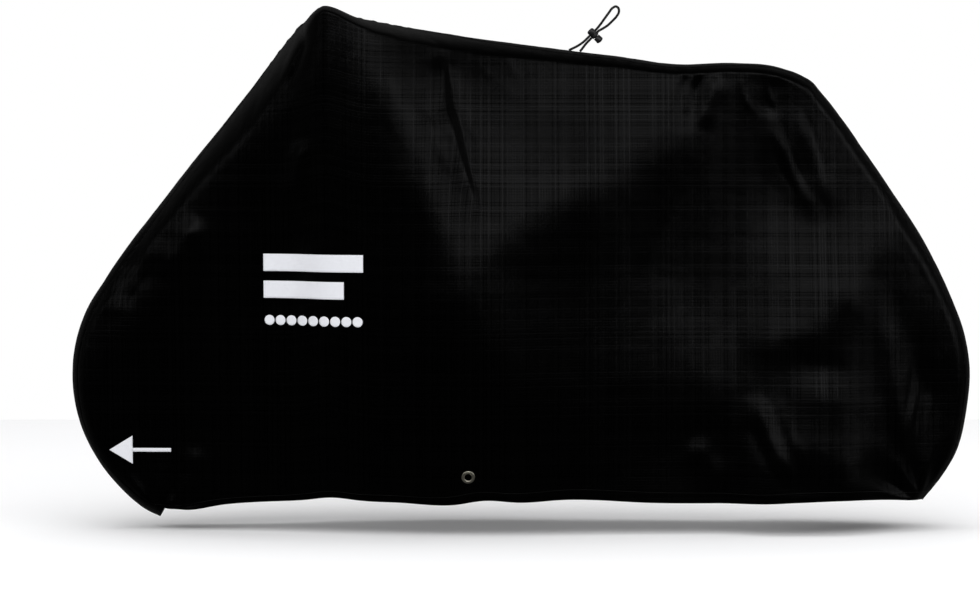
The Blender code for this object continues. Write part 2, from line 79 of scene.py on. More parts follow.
FRONT_EDGE = table(
    Point,
    (-0.352, 0.023), (-0.386, 0.040), (-0.433, 0.081), (-0.500, 0.173), (-0.532, 0.270),
    (-0.534, 0.362), (-0.506, 0.460), (-0.462, 0.532), (-0.327, 0.713), (-0.158, 0.924),
    (-0.080, 1.026), (-0.045, 1.064), (-0.020, 1.079),
)
TOP_EDGE = table(
    Point,
    (-0.020, 1.079), (0.000, PEAK_HEIGHT), (0.030, 1.081), (0.074, 1.073), (0.137, 1.061),
    (0.243, 1.044), (0.496, 1.009), (0.622, 0.994), (0.730, 0.979), (0.860, 0.981), (0.939, 0.975),
    (1.002, 0.954), (1.024, 0.941),
)
REAR_EDGE = table(
    Point,
    (1.024, 0.941), (1.040, 0.922), (1.066, 0.891), (1.129, 0.804), (1.192, 0.713), (1.256, 0.614),
    (1.312, 0.504), (1.350, 0.403), (1.360, 0.325), (1.352, 0.245), (1.332, 0.163), (1.297, 0.104),
    (1.260, 0.059),
)
WHOLE_EDGE = FRONT_EDGE + TOP_EDGE[1:] + REAR_EDGE[1:]
HEM = table(
    Point,
    (-0.300, 0.043), (-0.200, 0.057), (-0.090, 0.065), (0.150, 0.068), (0.270, 0.064), (0.335, 0.073),
    (0.410, 0.069), (0.500, 0.074), (0.690, 0.066), (0.870, 0.065), (0.990, 0.070), (1.090, 0.073),
    (1.190, 0.068),
)

Section = namedtuple("Section", "x crest high upper middle lower hem roll")
LEVELS_DOWN = (0.0, 0.12, 0.30, 0.50, 0.80, 1.0)  # of the half-widths crest to hem, as shares of the way
SECTIONS = table(
    Section,
    (-0.536, 0.064, 0.064, 0.064, 0.064, 0.064, 0.062, 0.036),
    (-0.470, 0.064, 0.080, 0.094, 0.086, 0.068, 0.062, 0.040),
    (-0.400, 0.068, 0.094, 0.108, 0.092, 0.070, 0.062, 0.045),
    (-0.200, 0.140, 0.150, 0.148, 0.130, 0.100, 0.085, 0.070),
    (-0.060, 0.184, 0.222, 0.212, 0.180, 0.140, 0.115, 0.040),
    (0.010, 0.287, 0.290, 0.276, 0.243, 0.190, 0.145, 0.026),
    (0.060, 0.284, 0.290, 0.283, 0.258, 0.208, 0.155, 0.026),
    (0.130, 0.232, 0.275, 0.286, 0.270, 0.222, 0.165, 0.030),
    (0.200, 0.162, 0.228, 0.276, 0.278, 0.235, 0.178, 0.034),
    (0.290, 0.112, 0.170, 0.216, 0.270, 0.243, 0.185, 0.036),
    (0.400, 0.088, 0.136, 0.196, 0.222, 0.226, 0.185, 0.034),
    (0.550, 0.078, 0.114, 0.163, 0.171, 0.182, 0.168, 0.030),
    (0.700, 0.072, 0.096, 0.108, 0.120, 0.160, 0.160, 0.026),
    (0.860, 0.078, 0.084, 0.092, 0.112, 0.152, 0.146, 0.024),
    (0.960, 0.088, 0.090, 0.095, 0.138, 0.163, 0.150, 0.026),
    (1.060, 0.078, 0.090, 0.110, 0.148, 0.160, 0.146, 0.032),
    (1.200, 0.070, 0.080, 0.094, 0.100, 0.114, 0.104, 0.036),
    (1.362, 0.064, 0.064, 0.064, 0.064, 0.064, 0.062, 0.036),
)
SECTION_X = np.array([row.x for row in SECTIONS])
SECTION_WIDTHS = np.array([row[1:7] for row in SECTIONS])
SECTION_ROLLS = np.array([row.roll for row in SECTIONS])

# A soft ridge, or a trough where rise is negative, along a line in x and height.
Fold = namedtuple("Fold", "x0 h0 x1 h1 width rise")
SHARED_FOLDS = table(
    Fold,
    (0.095, 1.045, 0.285, 0.545, 0.070, 0.006),
    (0.290, 0.550, 0.320, 0.250, 0.120, 0.006),
    (0.300, 0.560, 0.770, 0.850, 0.180, 0.014),
)
LEFT_FOLDS = table(
    Fold,
    (0.250, 0.985, 0.330, 0.650, 0.038, -0.013),
    (-0.045, 1.060, -0.070, 0.935, 0.040, 0.008),
    (-0.040, 0.800, -0.066, 0.690, 0.040, 0.016),
    (-0.270, 0.650, -0.320, 0.540, 0.045, 0.015),
    (-0.350, 0.610, -0.480, 0.450, 0.050, 0.006),
    (0.776, 0.948, 0.749, 0.845, 0.040, -0.007),
    (0.820, 0.945, 0.790, 0.850, 0.040, 0.007),
    (0.935, 0.945, 0.930, 0.870, 0.040, -0.006),
    (0.940, 0.840, 1.020, 0.660, 0.045, 0.009),
    (0.990, 0.870, 1.055, 0.680, 0.040, 0.008),
    (1.060, 0.440, 1.210, 0.665, 0.110, 0.013),
    (0.880, 0.390, 1.070, 0.435, 0.110, 0.011),
    (0.690, 0.510, 0.860, 0.170, 0.090, 0.004),
    (0.600, 0.200, 0.880, 0.180, 0.220, -0.011),
    (1.035, 0.330, 1.000, 0.120, 0.130, 0.016),
    (0.860, 0.070, 1.160, 0.090, 0.260, 0.050),
    (0.900, 0.280, 0.950, 0.115, 0.045, 0.010),
    (0.768, 0.190, 0.831, 0.100, 0.060, 0.009),
    (1.160, 0.480, 1.225, 0.120, 0.060, 0.010),
    (1.270, 0.340, 1.240, 0.130, 0.045, -0.008),
    (-0.265, 0.170, -0.300, 0.080, 0.045, 0.007),
    (-0.060, 0.360, -0.080, 0.060, 0.080, 0.006),
)
RIGHT_FOLDS = table(
    Fold,
    (0.300, 0.960, 0.400, 0.640, 0.060, -0.009),
    (-0.050, 1.050, -0.090, 0.900, 0.045, 0.009),
    (-0.200, 0.730, -0.290, 0.540, 0.055, 0.008),
    (-0.380, 0.590, -0.480, 0.420, 0.050, 0.006),
    (0.560, 0.930, 0.600, 0.700, 0.060, -0.008),
    (0.800, 0.945, 0.770, 0.850, 0.040, 0.007),
    (0.950, 0.860, 1.035, 0.650, 0.050, 0.010),
    (0.900, 0.420, 1.180, 0.660, 0.150, 0.014),
    (1.000, 0.360, 0.950, 0.060, 0.120, 0.020),
    (0.600, 0.420, 0.760, 0.110, 0.080, 0.009),
    (1.140, 0.460, 1.215, 0.120, 0.060, 0.010),
    (-0.230, 0.200, -0.270, 0.070, 0.050, 0.008),
    (0.030, 0.340, -0.010, 0.070, 0.080, 0.007),
)

# ---- finer creases, as they show
# A narrower ridge or trough, which bows sideways by a share of its length.
Crease = namedtuple("Crease", "x0 h0 x1 h1 width rise bow")
LEFT_CREASES = table(
    Crease,
    (0.244, 0.985, 0.248, 0.890, 0.036, -0.0100, 0.00),
    (0.246, 0.905, 0.328, 0.650, 0.045, -0.0170, 0.04),
    (0.215, 0.870, 0.262, 0.745, 0.020, -0.0040, 0.03),
    (0.905, 0.275, 0.975, 0.115, 0.014, -0.0040, 0.05),
    (0.925, 0.285, 0.990, 0.125, 0.012, 0.0040, 0.05),
    (0.880, 0.240, 0.955, 0.100, 0.014, 0.0040, 0.05),
    (0.945, 0.290, 1.000, 0.150, 0.010, -0.0030, 0.05),
    (0.935, 0.120, 1.085, 0.125, 0.150, 0.0060, 0.0),
    (1.262, 0.440, 1.222, 0.110, 0.018, 0.0055, 0.05),
    (1.287, 0.420, 1.238, 0.120, 0.016, 0.0050, 0.05),
    (1.303, 0.380, 1.254, 0.130, 0.014, -0.0040, 0.05),
    (1.240, 0.300, 1.215, 0.100, 0.014, -0.0040, 0.05),
    (-0.452, 0.480, -0.368, 0.600, 0.040, 0.0080, 0.0),
    (-0.425, 0.470, -0.352, 0.560, 0.030, 0.0060, 0.0),
    (-0.440, 0.450, -0.372, 0.545, 0.014, -0.0030, 0.0),
    (-0.046, 1.062, -0.036, 0.985, 0.018, 0.0060, 0.0),
    (-0.036, 1.000, -0.075, 0.915, 0.020, 0.0060, 0.0),
    (0.775, 0.965, 0.755, 0.850, 0.014, -0.0050, 0.05),
    (0.760, 0.960, 0.738, 0.862, 0.012, 0.0035, 0.05),
    (0.790, 0.962, 0.772, 0.858, 0.012, 0.0040, 0.05),
    (0.812, 0.960, 0.800, 0.880, 0.012, -0.0030, -0.05),
    (0.868, 0.960, 0.900, 0.870, 0.014, -0.0035, 0.10),
    (0.925, 0.950, 0.945, 0.880, 0.012, -0.0040, 0.10),
    (0.955, 0.860, 1.025, 0.690, 0.016, 0.0045, 0.05),
    (0.930, 0.835, 0.985, 0.700, 0.014, 0.0035, 0.05),
    (1.000, 0.880, 1.050, 0.720, 0.014, 0.0040, -0.04),
)
RIGHT_CREASES = table(
    Crease,
    (0.780, 0.962, 0.765, 0.850, 0.014, -0.0045, 0.05),
    (0.820, 0.960, 0.805, 0.865, 0.012, 0.0035, 0.05),
    (0.965, 0.860, 1.030, 0.680, 0.016, 0.0045, 0.05),
)

# Pleats that spread from a corner of the hem, where its elastic draws the cloth in.
Gather = namedtuple("Gather", "x height reach rise pleats")
GATHERS = table(
    Gather,
    (-0.352, 0.023, 0.150, 0.006, 9),
    (1.250, 0.060, 0.190, 0.007, 9),
)

# ---- the shock cord's route
RoutePoint = namedtuple("RoutePoint", "x y height")
CORD_ROUTE = table(
    RoutePoint,
    (0.5127, 0.013, 1.0078), (0.5180, 0.012, 1.0104), (0.5300, 0.008, 1.0163), (0.5430, 0.005, 1.0252),
    (0.5535, 0.004, 1.0351), (0.5591, 0.004, 1.0407), (0.5648, 0.004, 1.0464), (0.5704, 0.004, 1.0520),
    (0.5785, 0.005, 1.0618), (0.5870, 0.006, 1.0736), (0.5960, 0.007, 1.0860), (0.6050, 0.008, 1.0970),
    (0.6112, 0.008, 1.0998), (0.6166, 0.008, 1.0960), (0.6176, 0.008, 1.0880), (0.6128, 0.007, 1.0790),
    (0.6033, 0.006, 1.0687), (0.5930, 0.005, 1.0592), (0.5828, 0.004, 1.0527), (0.5745, 0.004, 1.0479),
    (0.5689, 0.004, 1.0423), (0.5632, 0.004, 1.0366), (0.5576, 0.004, 1.0310), (0.5480, 0.003, 1.0210),
    (0.5400, 0.001, 1.0105), (0.5359, -0.001, 1.0054),
)


# ---- settings in the sidebar
class CoverCloth(bpy.types.PropertyGroup):
    """Sizes and colour of the cloth."""

    columns: IntProperty(name="Columns", description="Cells along a side panel", default=280, min=60)
    rows: IntProperty(name="Rows", description="Cells down a side panel", default=150, min=40)
    thickness: FloatProperty(
        name="Thickness", description="Thickness of the cloth", default=0.0012, unit="LENGTH"
    )
    crumple: FloatProperty(
        name="Crumple", description="Height of the small creases", default=0.0008, unit="LENGTH"
    )
    pucker: FloatProperty(
        name="Pucker", description="Height of the puckers at a seam", default=0.0009, unit="LENGTH"
    )
    hem_depth: FloatProperty(
        name="Hem depth", description="Depth of the turned-up hem", default=0.022, unit="LENGTH"
    )
    pitch: FloatProperty(
        name="Ripstop pitch", description="Between two ripstop threads", default=0.0055, unit="LENGTH"
    )
    roughness: FloatProperty(
        name="Roughness", description="Roughness of the coating", default=0.20, subtype="FACTOR"
    )
    colour: FloatVectorProperty(
        name="Colour",
        description="Colour of the cloth",
        default=(0.0002, 0.0002, 0.0002),
        subtype="COLOR",
    )
    thread_colour: FloatVectorProperty(
        name="Thread colour",
        description="Colour of the ripstop threads",
        default=(0.0135, 0.0135, 0.0140),
        subtype="COLOR",
    )


class CoverTrim(bpy.types.PropertyGroup):
    """Sizes and colours of the eyelets, the cord, the lock and the prints."""

    eyelet_hole: FloatProperty(
        name="Eyelet hole", description="Radius of the hole", default=0.0075, unit="LENGTH"
    )
    eyelet_flange: FloatProperty(
        name="Eyelet flange", description="Outer radius of the eyelet", default=0.0140, unit="LENGTH"
    )
    cord_diameter: FloatProperty(
        name="Cord diameter", description="Diameter of the shock cord", default=0.0052, unit="LENGTH"
    )
    stitch: FloatProperty(
        name="Stitch", description="Length of a stitch with its gap", default=0.0042, unit="LENGTH"
    )
    brass: FloatVectorProperty(
        name="Brass", description="Colour of the eyelets", default=(0.90, 0.86, 0.72), subtype="COLOR"
    )
    cord: FloatVectorProperty(
        name="Cord", description="Colour of the shock cord", default=(0.006, 0.006, 0.006), subtype="COLOR"
    )
    plastic: FloatVectorProperty(
        name="Lock", description="Colour of the cord lock", default=(0.008, 0.008, 0.009), subtype="COLOR"
    )
    ink: FloatVectorProperty(
        name="Ink", description="Colour of the prints", default=(0.72, 0.73, 0.77), subtype="COLOR"
    )


class CoverStage(bpy.types.PropertyGroup):
    """The floor, the lights and the camera."""

    floor: FloatVectorProperty(
        name="Floor", description="Colour of the floor", default=(0.93, 0.93, 0.94), subtype="COLOR"
    )
    camera_distance: FloatProperty(
        name="Distance", description="From the camera to the middle plane", default=7.8, unit="LENGTH"
    )
    camera_height: FloatProperty(
        name="Camera height", description="Camera above the ground", default=0.82, unit="LENGTH"
    )
    front_light: FloatProperty(
        name="Front light", description="Power of the soft box in front", default=125.0, unit="POWER"
    )
    back_light: FloatProperty(
        name="Back light", description="Power of the soft box behind", default=25.0, unit="POWER"
    )
    top_light: FloatProperty(
        name="Top light", description="Power of the soft box above", default=90.0, unit="POWER"
    )
    under_light: FloatProperty(
        name="Light underneath",
        description="Power of the lamp that lifts the shadow under the cover",
        default=0.25,
        unit="POWER",
    )
    fill: FloatProperty(
        name="Fill", description="Strength of the white surroundings", default=0.66, min=0.0
    )


# ---- curves and tables
def between_rows(keys, at):
    """For each place, the row before it, the step to the next row and the share of that step."""
    i = np.clip(np.searchsorted(keys, at, side="right") - 1, 0, len(keys) - 2)
    span = keys[i + 1] - keys[i]
    return i, span, (at - keys[i]) / span


def eased(start, start_slope, end, end_slope, span, t):
    """The smooth curve at a share t of a step, from the values and the slopes at its ends."""
    return (
        start * (1 + 2 * t) * (1 - t) ** 2
        + start_slope * span * t * (1 - t) ** 2
        + end * t**2 * (3 - 2 * t)
        + end_slope * span * t**2 * (t - 1)
    )


def through(keys, values, at):
    """Values between the rows of a table, on a smooth curve through every row."""
    keys = np.asarray(keys, float)
    values = np.asarray(values, float)
    slopes = np.gradient(values, keys, axis=0)
    i, span, t = between_rows(keys, np.clip(at, keys[0], keys[-1]))
    if values.ndim > 1:
        t, span = t[:, None], span[:, None]
    return eased(values[i], slopes[i], values[i + 1], slopes[i + 1], span, t)


def through_each(keys, values, at):
    """As through, with its own row of values for each place."""
    keys = np.asarray(keys, float)
    slopes = np.gradient(values, keys, axis=1)
    i, span, t = between_rows(keys, at)
    n = np.arange(len(at))
    return eased(values[n, i], slopes[n, i], values[n, i + 1], slopes[n, i + 1], span, t)


def lengths_along(points):
    """The length from the first point to each point."""
    steps = np.linalg.norm(np.diff(np.array(points), axis=0), axis=1)
    return np.concatenate([[0], np.cumsum(steps)])


def unit(vectors):
    """The vectors at a length of 1."""
    return vectors / np.maximum(np.linalg.norm(vectors, axis=-1, keepdims=True), 1e-12)


def drawn(points, shares):
    """Places at shares of the way along a smooth line through the points."""
    along = lengths_along(points)
    return through(along, points, np.asarray(shares) * along[-1])


def fade(value, start, end):
    """0 before start, 1 past end and smooth between them."""
    t = np.clip((value - start) / (end - start), 0, 1)
    return t * t * (3 - 2 * t)


def finer_at_ends(solid_count, count, both):
    """Shares in the solid's spacing, small near 0 and near 1 too if both, in count steps."""
    k = np.arange(solid_count)
    from_end = np.minimum(k, solid_count - 1 - k) if both else k
    steps = np.minimum(FIRST_STEP * STEP_GROWTH**from_end, 1)
    shares = np.concatenate([[0], np.cumsum(steps)]) / steps.sum()
    return through(np.linspace(0, 1, solid_count + 1), shares, np.linspace(0, 1, count + 1))


SINGLE_ABOVE = 0.325  # height above which the crest passes each x once
CREST = drawn(WHOLE_EDGE, np.linspace(0, 1, 800))
CREST_ALONG = lengths_along(CREST)
LOWEST = drawn([FRONT_EDGE[0], *HEM, REAR_EDGE[-1]], np.linspace(0, 1, 200))
UPPER_CREST = CREST[CREST[:, 1] > SINGLE_ABOVE]
UPPER_CREST = UPPER_CREST[np.argsort(UPPER_CREST[:, 0])]


# ---- the form of the solids
NEAR = 0.002  # share of the crest, to each side of a place, over which its direction is taken


def crest_line(edge, shares):
    """Points on the crest, and the unit directions from them into the cover, as x and height."""
    along = lengths_along(WHOLE_EDGE)
    first = along[WHOLE_EDGE.index(edge[0])]
    last = along[WHOLE_EDGE.index(edge[-1])]
    place = (first + np.asarray(shares) * (last - first)) / along[-1]
    ahead = drawn(WHOLE_EDGE, np.clip(place + NEAR, 0, 1))
    behind = drawn(WHOLE_EDGE, np.clip(place - NEAR, 0, 1))
    tangent = unit(ahead - behind)
    return drawn(WHOLE_EDGE, place), np.stack([tangent[:, 1], -tangent[:, 0]], axis=1)


def wall_half_width(x, height):
    """How far the cloth stands from the middle plane, before it turns over to the crest."""
    widths = through(SECTION_X, SECTION_WIDTHS, x)
    low = np.interp(x, LOWEST[:, 0], LOWEST[:, 1])
    top = np.interp(x, UPPER_CREST[:, 0], UPPER_CREST[:, 1])
    down = np.clip((top - height) / np.maximum(top - low, 0.05), 0, 1)
    return through_each(LEVELS_DOWN, widths, down)


def roll_depth(x):
    """How far down the cloth turns over from the crest to the wall."""
    return through(SECTION_X, SECTION_ROLLS, x)


MOST_OF_WALL = 0.97  # share of the wall's half-width up to which the turn at the crest is followed


def depth_at(half_width, wall, roll):
    """How far inside the crest the cloth lies at a half-width."""
    share = np.clip(np.abs(half_width) / wall, 0, MOST_OF_WALL)
    return roll * (1 - np.sqrt(1 - share**2))


def nearest_on_crest(x, height, batch=4000):
    """How far inside the crest each place lies, and the nearest point of it, a batch at a time."""
    inside, nearest = np.empty(len(x)), np.empty(len(x), int)
    for start in range(0, len(x), batch):
        part = slice(start, start + batch)
        away = np.hypot(x[part, None] - CREST[None, :, 0], height[part, None] - CREST[None, :, 1])
        nearest[part] = away.argmin(axis=1)
        inside[part] = away.min(axis=1)
    return inside, nearest


def plain_half_width(x, height):
    """Half-width without folds, how far inside the crest each place lies, and where along it."""
    inside, nearest = nearest_on_crest(x, height)
    share = np.clip(inside / roll_depth(CREST[nearest, 0]), 0, 1)
    half = wall_half_width(x, height) * np.sqrt(1 - (1 - share) ** 2)
    return half, inside, CREST_ALONG[nearest]


def beside(line, x, height):
    """A line's length, and for each place the share along it and the distance to its side."""
    run_x, run_h = line.x1 - line.x0, line.h1 - line.h0
    length = math.hypot(run_x, run_h)
    along = ((x - line.x0) * run_x + (height - line.h0) * run_h) / length**2
    across = ((x - line.x0) * run_h - (height - line.h0) * run_x) / length
    return length, along, across


def fold_height(folds, x, height):
    """How far the folds stand out of the plain wall."""
    total = np.zeros(len(x))
    for fold in folds:
        _, along, across = beside(fold, x, height)
        ends = fade(along, -0.15, 0.25) * (1 - fade(along, 0.7, 1.15))
        total += fold.rise * ends / np.cosh(across / (0.5 * fold.width)) ** 2
    return total


def crease_height(creases, x, height):
    """Narrow creases, with a crisper ridge than a fold's."""
    total = np.zeros(len(x))
    for crease in creases:
        length, along, across = beside(crease, x, height)
        across = across - crease.bow * length * 4 * along * (1 - along)
        ends = fade(along, -0.1, 0.3) * (1 - fade(along, 0.6, 1.1))
        spread = np.sqrt((across / (0.45 * crease.width)) ** 2 + 0.06) - 0.245
        total += crease.rise * ends * np.exp(-spread)
    return total


def gather_height(side, x, height):
    """The pleats at the hem's corners, which lie differently on each side."""
    total = np.zeros(len(x))
    for gather in GATHERS:
        away = np.hypot(x - gather.x, height - gather.height)
        turn = np.arctan2(height - gather.height, x - gather.x)
        wave = np.cos(gather.pleats * turn + 0.9 * side)
        total += gather.rise * wave * fade(away, 0.01, 0.06) * (1 - fade(away, 0.06, gather.reach))
    return total


def shoulder_lift(x, y):
    """The shoulders rise beside the peak."""
    near = np.exp(-(((x - SHOULDER_X) / SHOULDER_REACH) ** 2))
    return SHOULDER_LIFT * near * fade(np.abs(y), 0.07, 0.25)


def eyelet_plane(step=0.03):
    """Half-width at the eyelet, and the panel's slopes there along x and height."""
    x = EYELET_X + step * np.array([0, 1, -1, 0, 0])
    height = EYELET_HEIGHT + step * np.array([0, 0, 0, 1, -1])
    half = plain_half_width(x, height)[0]
    return half[0], (half[1] - half[2]) / (2 * step), (half[3] - half[4]) / (2 * step)


EYELET_HALF, EYELET_SLOPE_X, EYELET_SLOPE_H = eyelet_plane()


def seam_line(edge, shares):
    """The edge of a side panel at the centre strip, as x and height."""
    points, inward = crest_line(edge, shares)
    wall = wall_half_width(points[:, 0], points[:, 1])
    depth = depth_at(STRIP_HALF, wall, roll_depth(points[:, 0])) + SEAM_GAP
    return points + inward * depth[:, None]


def panel_places(column_shares, row_shares):
    """x and height of a side panel's points, in a patch between its seam and its hem."""
    left = seam_line(FRONT_EDGE, 1 - row_shares)
    right = seam_line(REAR_EDGE, row_shares)
    top = seam_line(TOP_EDGE, column_shares)
    bottom = drawn([left[-1], *HEM, right[-1]], column_shares)
    u = column_shares[:, None, None]
    v = row_shares[None, :, None]
    across = (1 - u) * left[None] + u * right[None]
    down = (1 - v) * top[:, None] + v * bottom[:, None]
    ends_above = (1 - u) * left[0] + u * right[0]
    ends_below = (1 - u) * left[-1] + u * right[-1]
    return across + down - (1 - v) * ends_above - v * ends_below


# ---- crumpled cloth
def noise_at(places, scale, seed):
    """Smooth noise from about -1 to 1 at each place, for features of about scale."""
    shift = Vector((seed * 7.31, seed * 3.17, seed * 5.77))
    return np.array([noise.noise(Vector(p) / scale + shift) for p in places])


def crumple_height(places, seed):
    """Small sharp creases, as crisp coated cloth takes, in three sizes."""
    warp = noise_at(places, 0.11, seed + 20)
    total = np.zeros(len(places))
    for scale, weight, stretch in ((0.120, 1.0, 0.55), (0.055, 0.55, 0.7), (0.028, 0.25, 0.8)):
        bent = places.copy()
        bent[:, 0] += 0.35 * scale * warp
        bent[:, 2] *= stretch
        ridge = 1 - np.abs(noise_at(bent, scale, seed)) * 2.2
        total += weight * (ridge**2 * np.sign(ridge) - 0.25)
    return total


def seam_pucker(along):
    """Uneven puckers along a seam, the same on both sides of it."""
    wave = np.sin(2 * math.pi * along / 0.031 + 2.1 * np.sin(along * 17))
    return wave * (0.55 + 0.45 * np.sin(along * 9.7 + 1.3)) + 0.4 * np.sin(along * 430)


def grid_normals(places, side):
    """Unit normals over a grid of places, pointing out of the cover."""
    normals = unit(np.cross(np.gradient(places, axis=0), np.gradient(places, axis=1)))
    for _ in range(3):
        padded = np.pad(normals, ((1, 1), (1, 1), (0, 0)), mode="edge")
        around = padded[:-2, 1:-1] + padded[2:, 1:-1] + padded[1:-1, :-2] + padded[1:-1, 2:]
        normals = unit(around)
    return normals if side < 0 else -normals


# ---- making objects
LINES = {}  # lines on the finished cloth, by name, for the stitches


def object_from(shape, name, finish):
    """Puts a finished bmesh on a new object of its own, smoothly shaded."""
    mesh = bpy.data.meshes.new(name)
    shape.to_mesh(mesh)
    shape.free()
    made = bpy.data.objects.new(name, mesh)
    bpy.context.scene.collection.objects.link(made)
    mesh.materials.append(finish)
    mesh.shade_smooth()
    return made


def grid_object(name, places, flat, finish, inside_out=False, tube=False):
    """An object over a grid of places, with flat sizes in metres as its UV map."""
    shape = bmesh.new()
    layer = shape.loops.layers.uv.new("flat")
    verts = [[shape.verts.new(place) for place in line] for line in places]
    if tube:
        shape.faces.new(verts[0])
        shape.faces.new(verts[-1])
        verts = [ring + ring[:1] for ring in verts]
    for i in range(len(verts) - 1):
        for j in range(len(verts[0]) - 1):
            corners = [(i, j), (i, j + 1), (i + 1, j + 1), (i + 1, j)]
            if inside_out:
                corners.reverse()
            face = shape.faces.new([verts[a][b] for a, b in corners])
            for loop, (a, b) in zip(face.loops, corners):
                loop[layer].uv = flat[a, b]
    if tube:
        bmesh.ops.recalc_face_normals(shape, faces=shape.faces)
    return object_from(shape, name, finish)


def thicken(piece, thickness):
    """Gives a sheet its thickness, inward from the outer face."""
    solid = piece.modifiers.new("Thickness", "SOLIDIFY")
    solid.thickness = thickness
    solid.offset = -1.0


def turned(name, profile, sides, finish):
    """A solid turned about its local Z from radius and height pairs, outer side top to bottom."""
    shape = bmesh.new()
    corners = [shape.verts.new((radius, 0, height)) for radius, height in profile]
    loop = corners + [corners[0]] if profile[0][0] > 0 else corners
    edges = [shape.edges.new((start, end)) for start, end in zip(loop, loop[1:])]
    bmesh.ops.spin(
        shape,
        geom=corners + edges,
        cent=(0, 0, 0),
        axis=(0, 0, 1),
        angle=2 * math.pi,
        steps=sides,
        use_merge=True,
    )
    bmesh.ops.remove_doubles(shape, verts=shape.verts, dist=0.00002)
    bmesh.ops.recalc_face_normals(shape, faces=shape.faces)
    return object_from(shape, name, finish)


def with_modifiers_applied(piece):
    """Puts the evaluated mesh on the object in place of its modifiers."""
    graph = bpy.context.evaluated_depsgraph_get()
    done = bpy.data.meshes.new_from_object(piece.evaluated_get(graph))
    piece.modifiers.clear()
    piece.data = done
    return piece


def stand(piece, place, out):
    """Puts a piece at a place, with its local Z along a direction."""
    piece.location = place
    piece.rotation_mode = "QUATERNION"
    piece.rotation_quaternion = out.to_track_quat("Z", "Y")
    bpy.context.view_layer.update()


def drill(piece, place, run, radius, depth, sides):
    """Cuts a round hole through a piece, at a place and along a direction."""
    bpy.ops.mesh.primitive_cylinder_add(radius=radius, depth=depth, vertices=sides)
    cutter = bpy.context.object
    stand(cutter, place, run)
    hole = piece.modifiers.new("Hole", "BOOLEAN")
    hole.operation = "DIFFERENCE"
    hole.object = cutter
    with_modifiers_applied(piece)
    bpy.data.objects.remove(cutter)


def facing(place, target):
    """The rotation that turns a camera's or a lamp's -Z from a place towards a target."""
    return (Vector(target) - Vector(place)).to_track_quat("-Z", "Y").to_euler()


# ---- materials
THREAD_HALF = 0.13  # half a ripstop thread, as a share of the pitch
DULLEST_THREAD = 0.12  # how bright the dullest thread is, as a share of the brightest
WEAVE_IN_PITCH = 11  # threads of the plain weave to one pitch
BRAID_STRAND = 0.0011  # between two strands of the cord's sleeve, along the cord


def new_material(name):
    """A material with its node tree and its main shader."""
    made = bpy.data.materials.new(name)
    made.use_nodes = True
    tree = made.node_tree
    return made, tree, tree.nodes["Principled BSDF"]


def feed(tree, socket, value):
    """Links a socket, or sets a number or a colour."""
    if isinstance(value, bpy.types.NodeSocket):
        tree.links.new(value, socket)
    else:
        socket.default_value = value


def sums(tree, operation, a, b=0.0):
    """The result of a maths node."""
    node = tree.nodes.new("ShaderNodeMath")
    node.operation = operation
    feed(tree, node.inputs[0], a)
    feed(tree, node.inputs[1], b)
    return node.outputs[0]


def ranged(tree, value, low, high, to_low, to_high):
    """A value taken smoothly from one range to another."""
    node = tree.nodes.new("ShaderNodeMapRange")
    node.interpolation_type = "SMOOTHSTEP"
    for socket, number in zip(node.inputs[:5], (value, low, high, to_low, to_high)):
        feed(tree, socket, number)
    return node.outputs[0]


def noise_node(tree, vector, scale, detail=3.0):
    """Soft noise about 0.5, from 0 to 1."""
    node = tree.nodes.new("ShaderNodeTexNoise")
    feed(tree, node.inputs["Vector"], vector)
    node.inputs["Scale"].default_value = scale
    node.inputs["Detail"].default_value = detail
    return node.outputs["Fac"]


def mixed(tree, share, a, b):
    """A colour between two, at a share of the way."""
    node = tree.nodes.new("ShaderNodeMix")
    node.data_type = "RGBA"
    feed(tree, node.inputs["Factor"], share)
    feed(tree, node.inputs["A"], a)
    feed(tree, node.inputs["B"], b)
    return node.outputs["Result"]


def toned(tree, surface, share, colour, factor):
    """Mixes the base colour with a lighter or darker tone of itself."""
    tone = tuple(factor * c for c in colour)
    feed(tree, surface.inputs["Base Color"], mixed(tree, share, (*colour, 1), (*tone, 1)))


def bump(tree, surface, height, distance):
    """Raises the surface by a height, in units of a distance."""
    node = tree.nodes.new("ShaderNodeBump")
    node.inputs["Distance"].default_value = distance
    feed(tree, node.inputs["Height"], height)
    tree.links.new(node.outputs["Normal"], surface.inputs["Normal"])


def flat_coordinates(tree):
    """The UV map's vector and its two sizes in metres."""
    node = tree.nodes.new("ShaderNodeUVMap")
    node.uv_map = "flat"
    split = tree.nodes.new("ShaderNodeSeparateXYZ")
    tree.links.new(node.outputs["UV"], split.inputs[0])
    return node.outputs["UV"], split.outputs["X"], split.outputs["Y"]


def own_coordinates(tree):
    """Places in the object's own frame."""
    return tree.nodes.new("ShaderNodeTexCoord").outputs["Object"]


def waves(tree, size, pitch):
    """A sine along a size, with one crest to a pitch."""
    return sums(tree, "SINE", sums(tree, "MULTIPLY", size, 2 * math.pi / pitch))


def ripstop_threads(tree, across, pitch, seed):
    """Where the threads lie at even places across the cloth, and how bright chance makes each."""
    scaled = sums(tree, "DIVIDE", across, pitch)
    cell = sums(tree, "FLOOR", scaled)
    away = sums(tree, "ABSOLUTE", sums(tree, "SUBTRACT", sums(tree, "FRACT", scaled), 0.5))
    thread = sums(tree, "LESS_THAN", away, THREAD_HALF)
    chance = tree.nodes.new("ShaderNodeTexWhiteNoise")
    chance.noise_dimensions = "1D"
    feed(tree, chance.inputs["W"], sums(tree, "ADD", cell, seed))
    bright = ranged(tree, chance.outputs["Value"], 0.1, 0.9, DULLEST_THREAD, 1.0)
    return thread, sums(tree, "MULTIPLY", thread, bright)


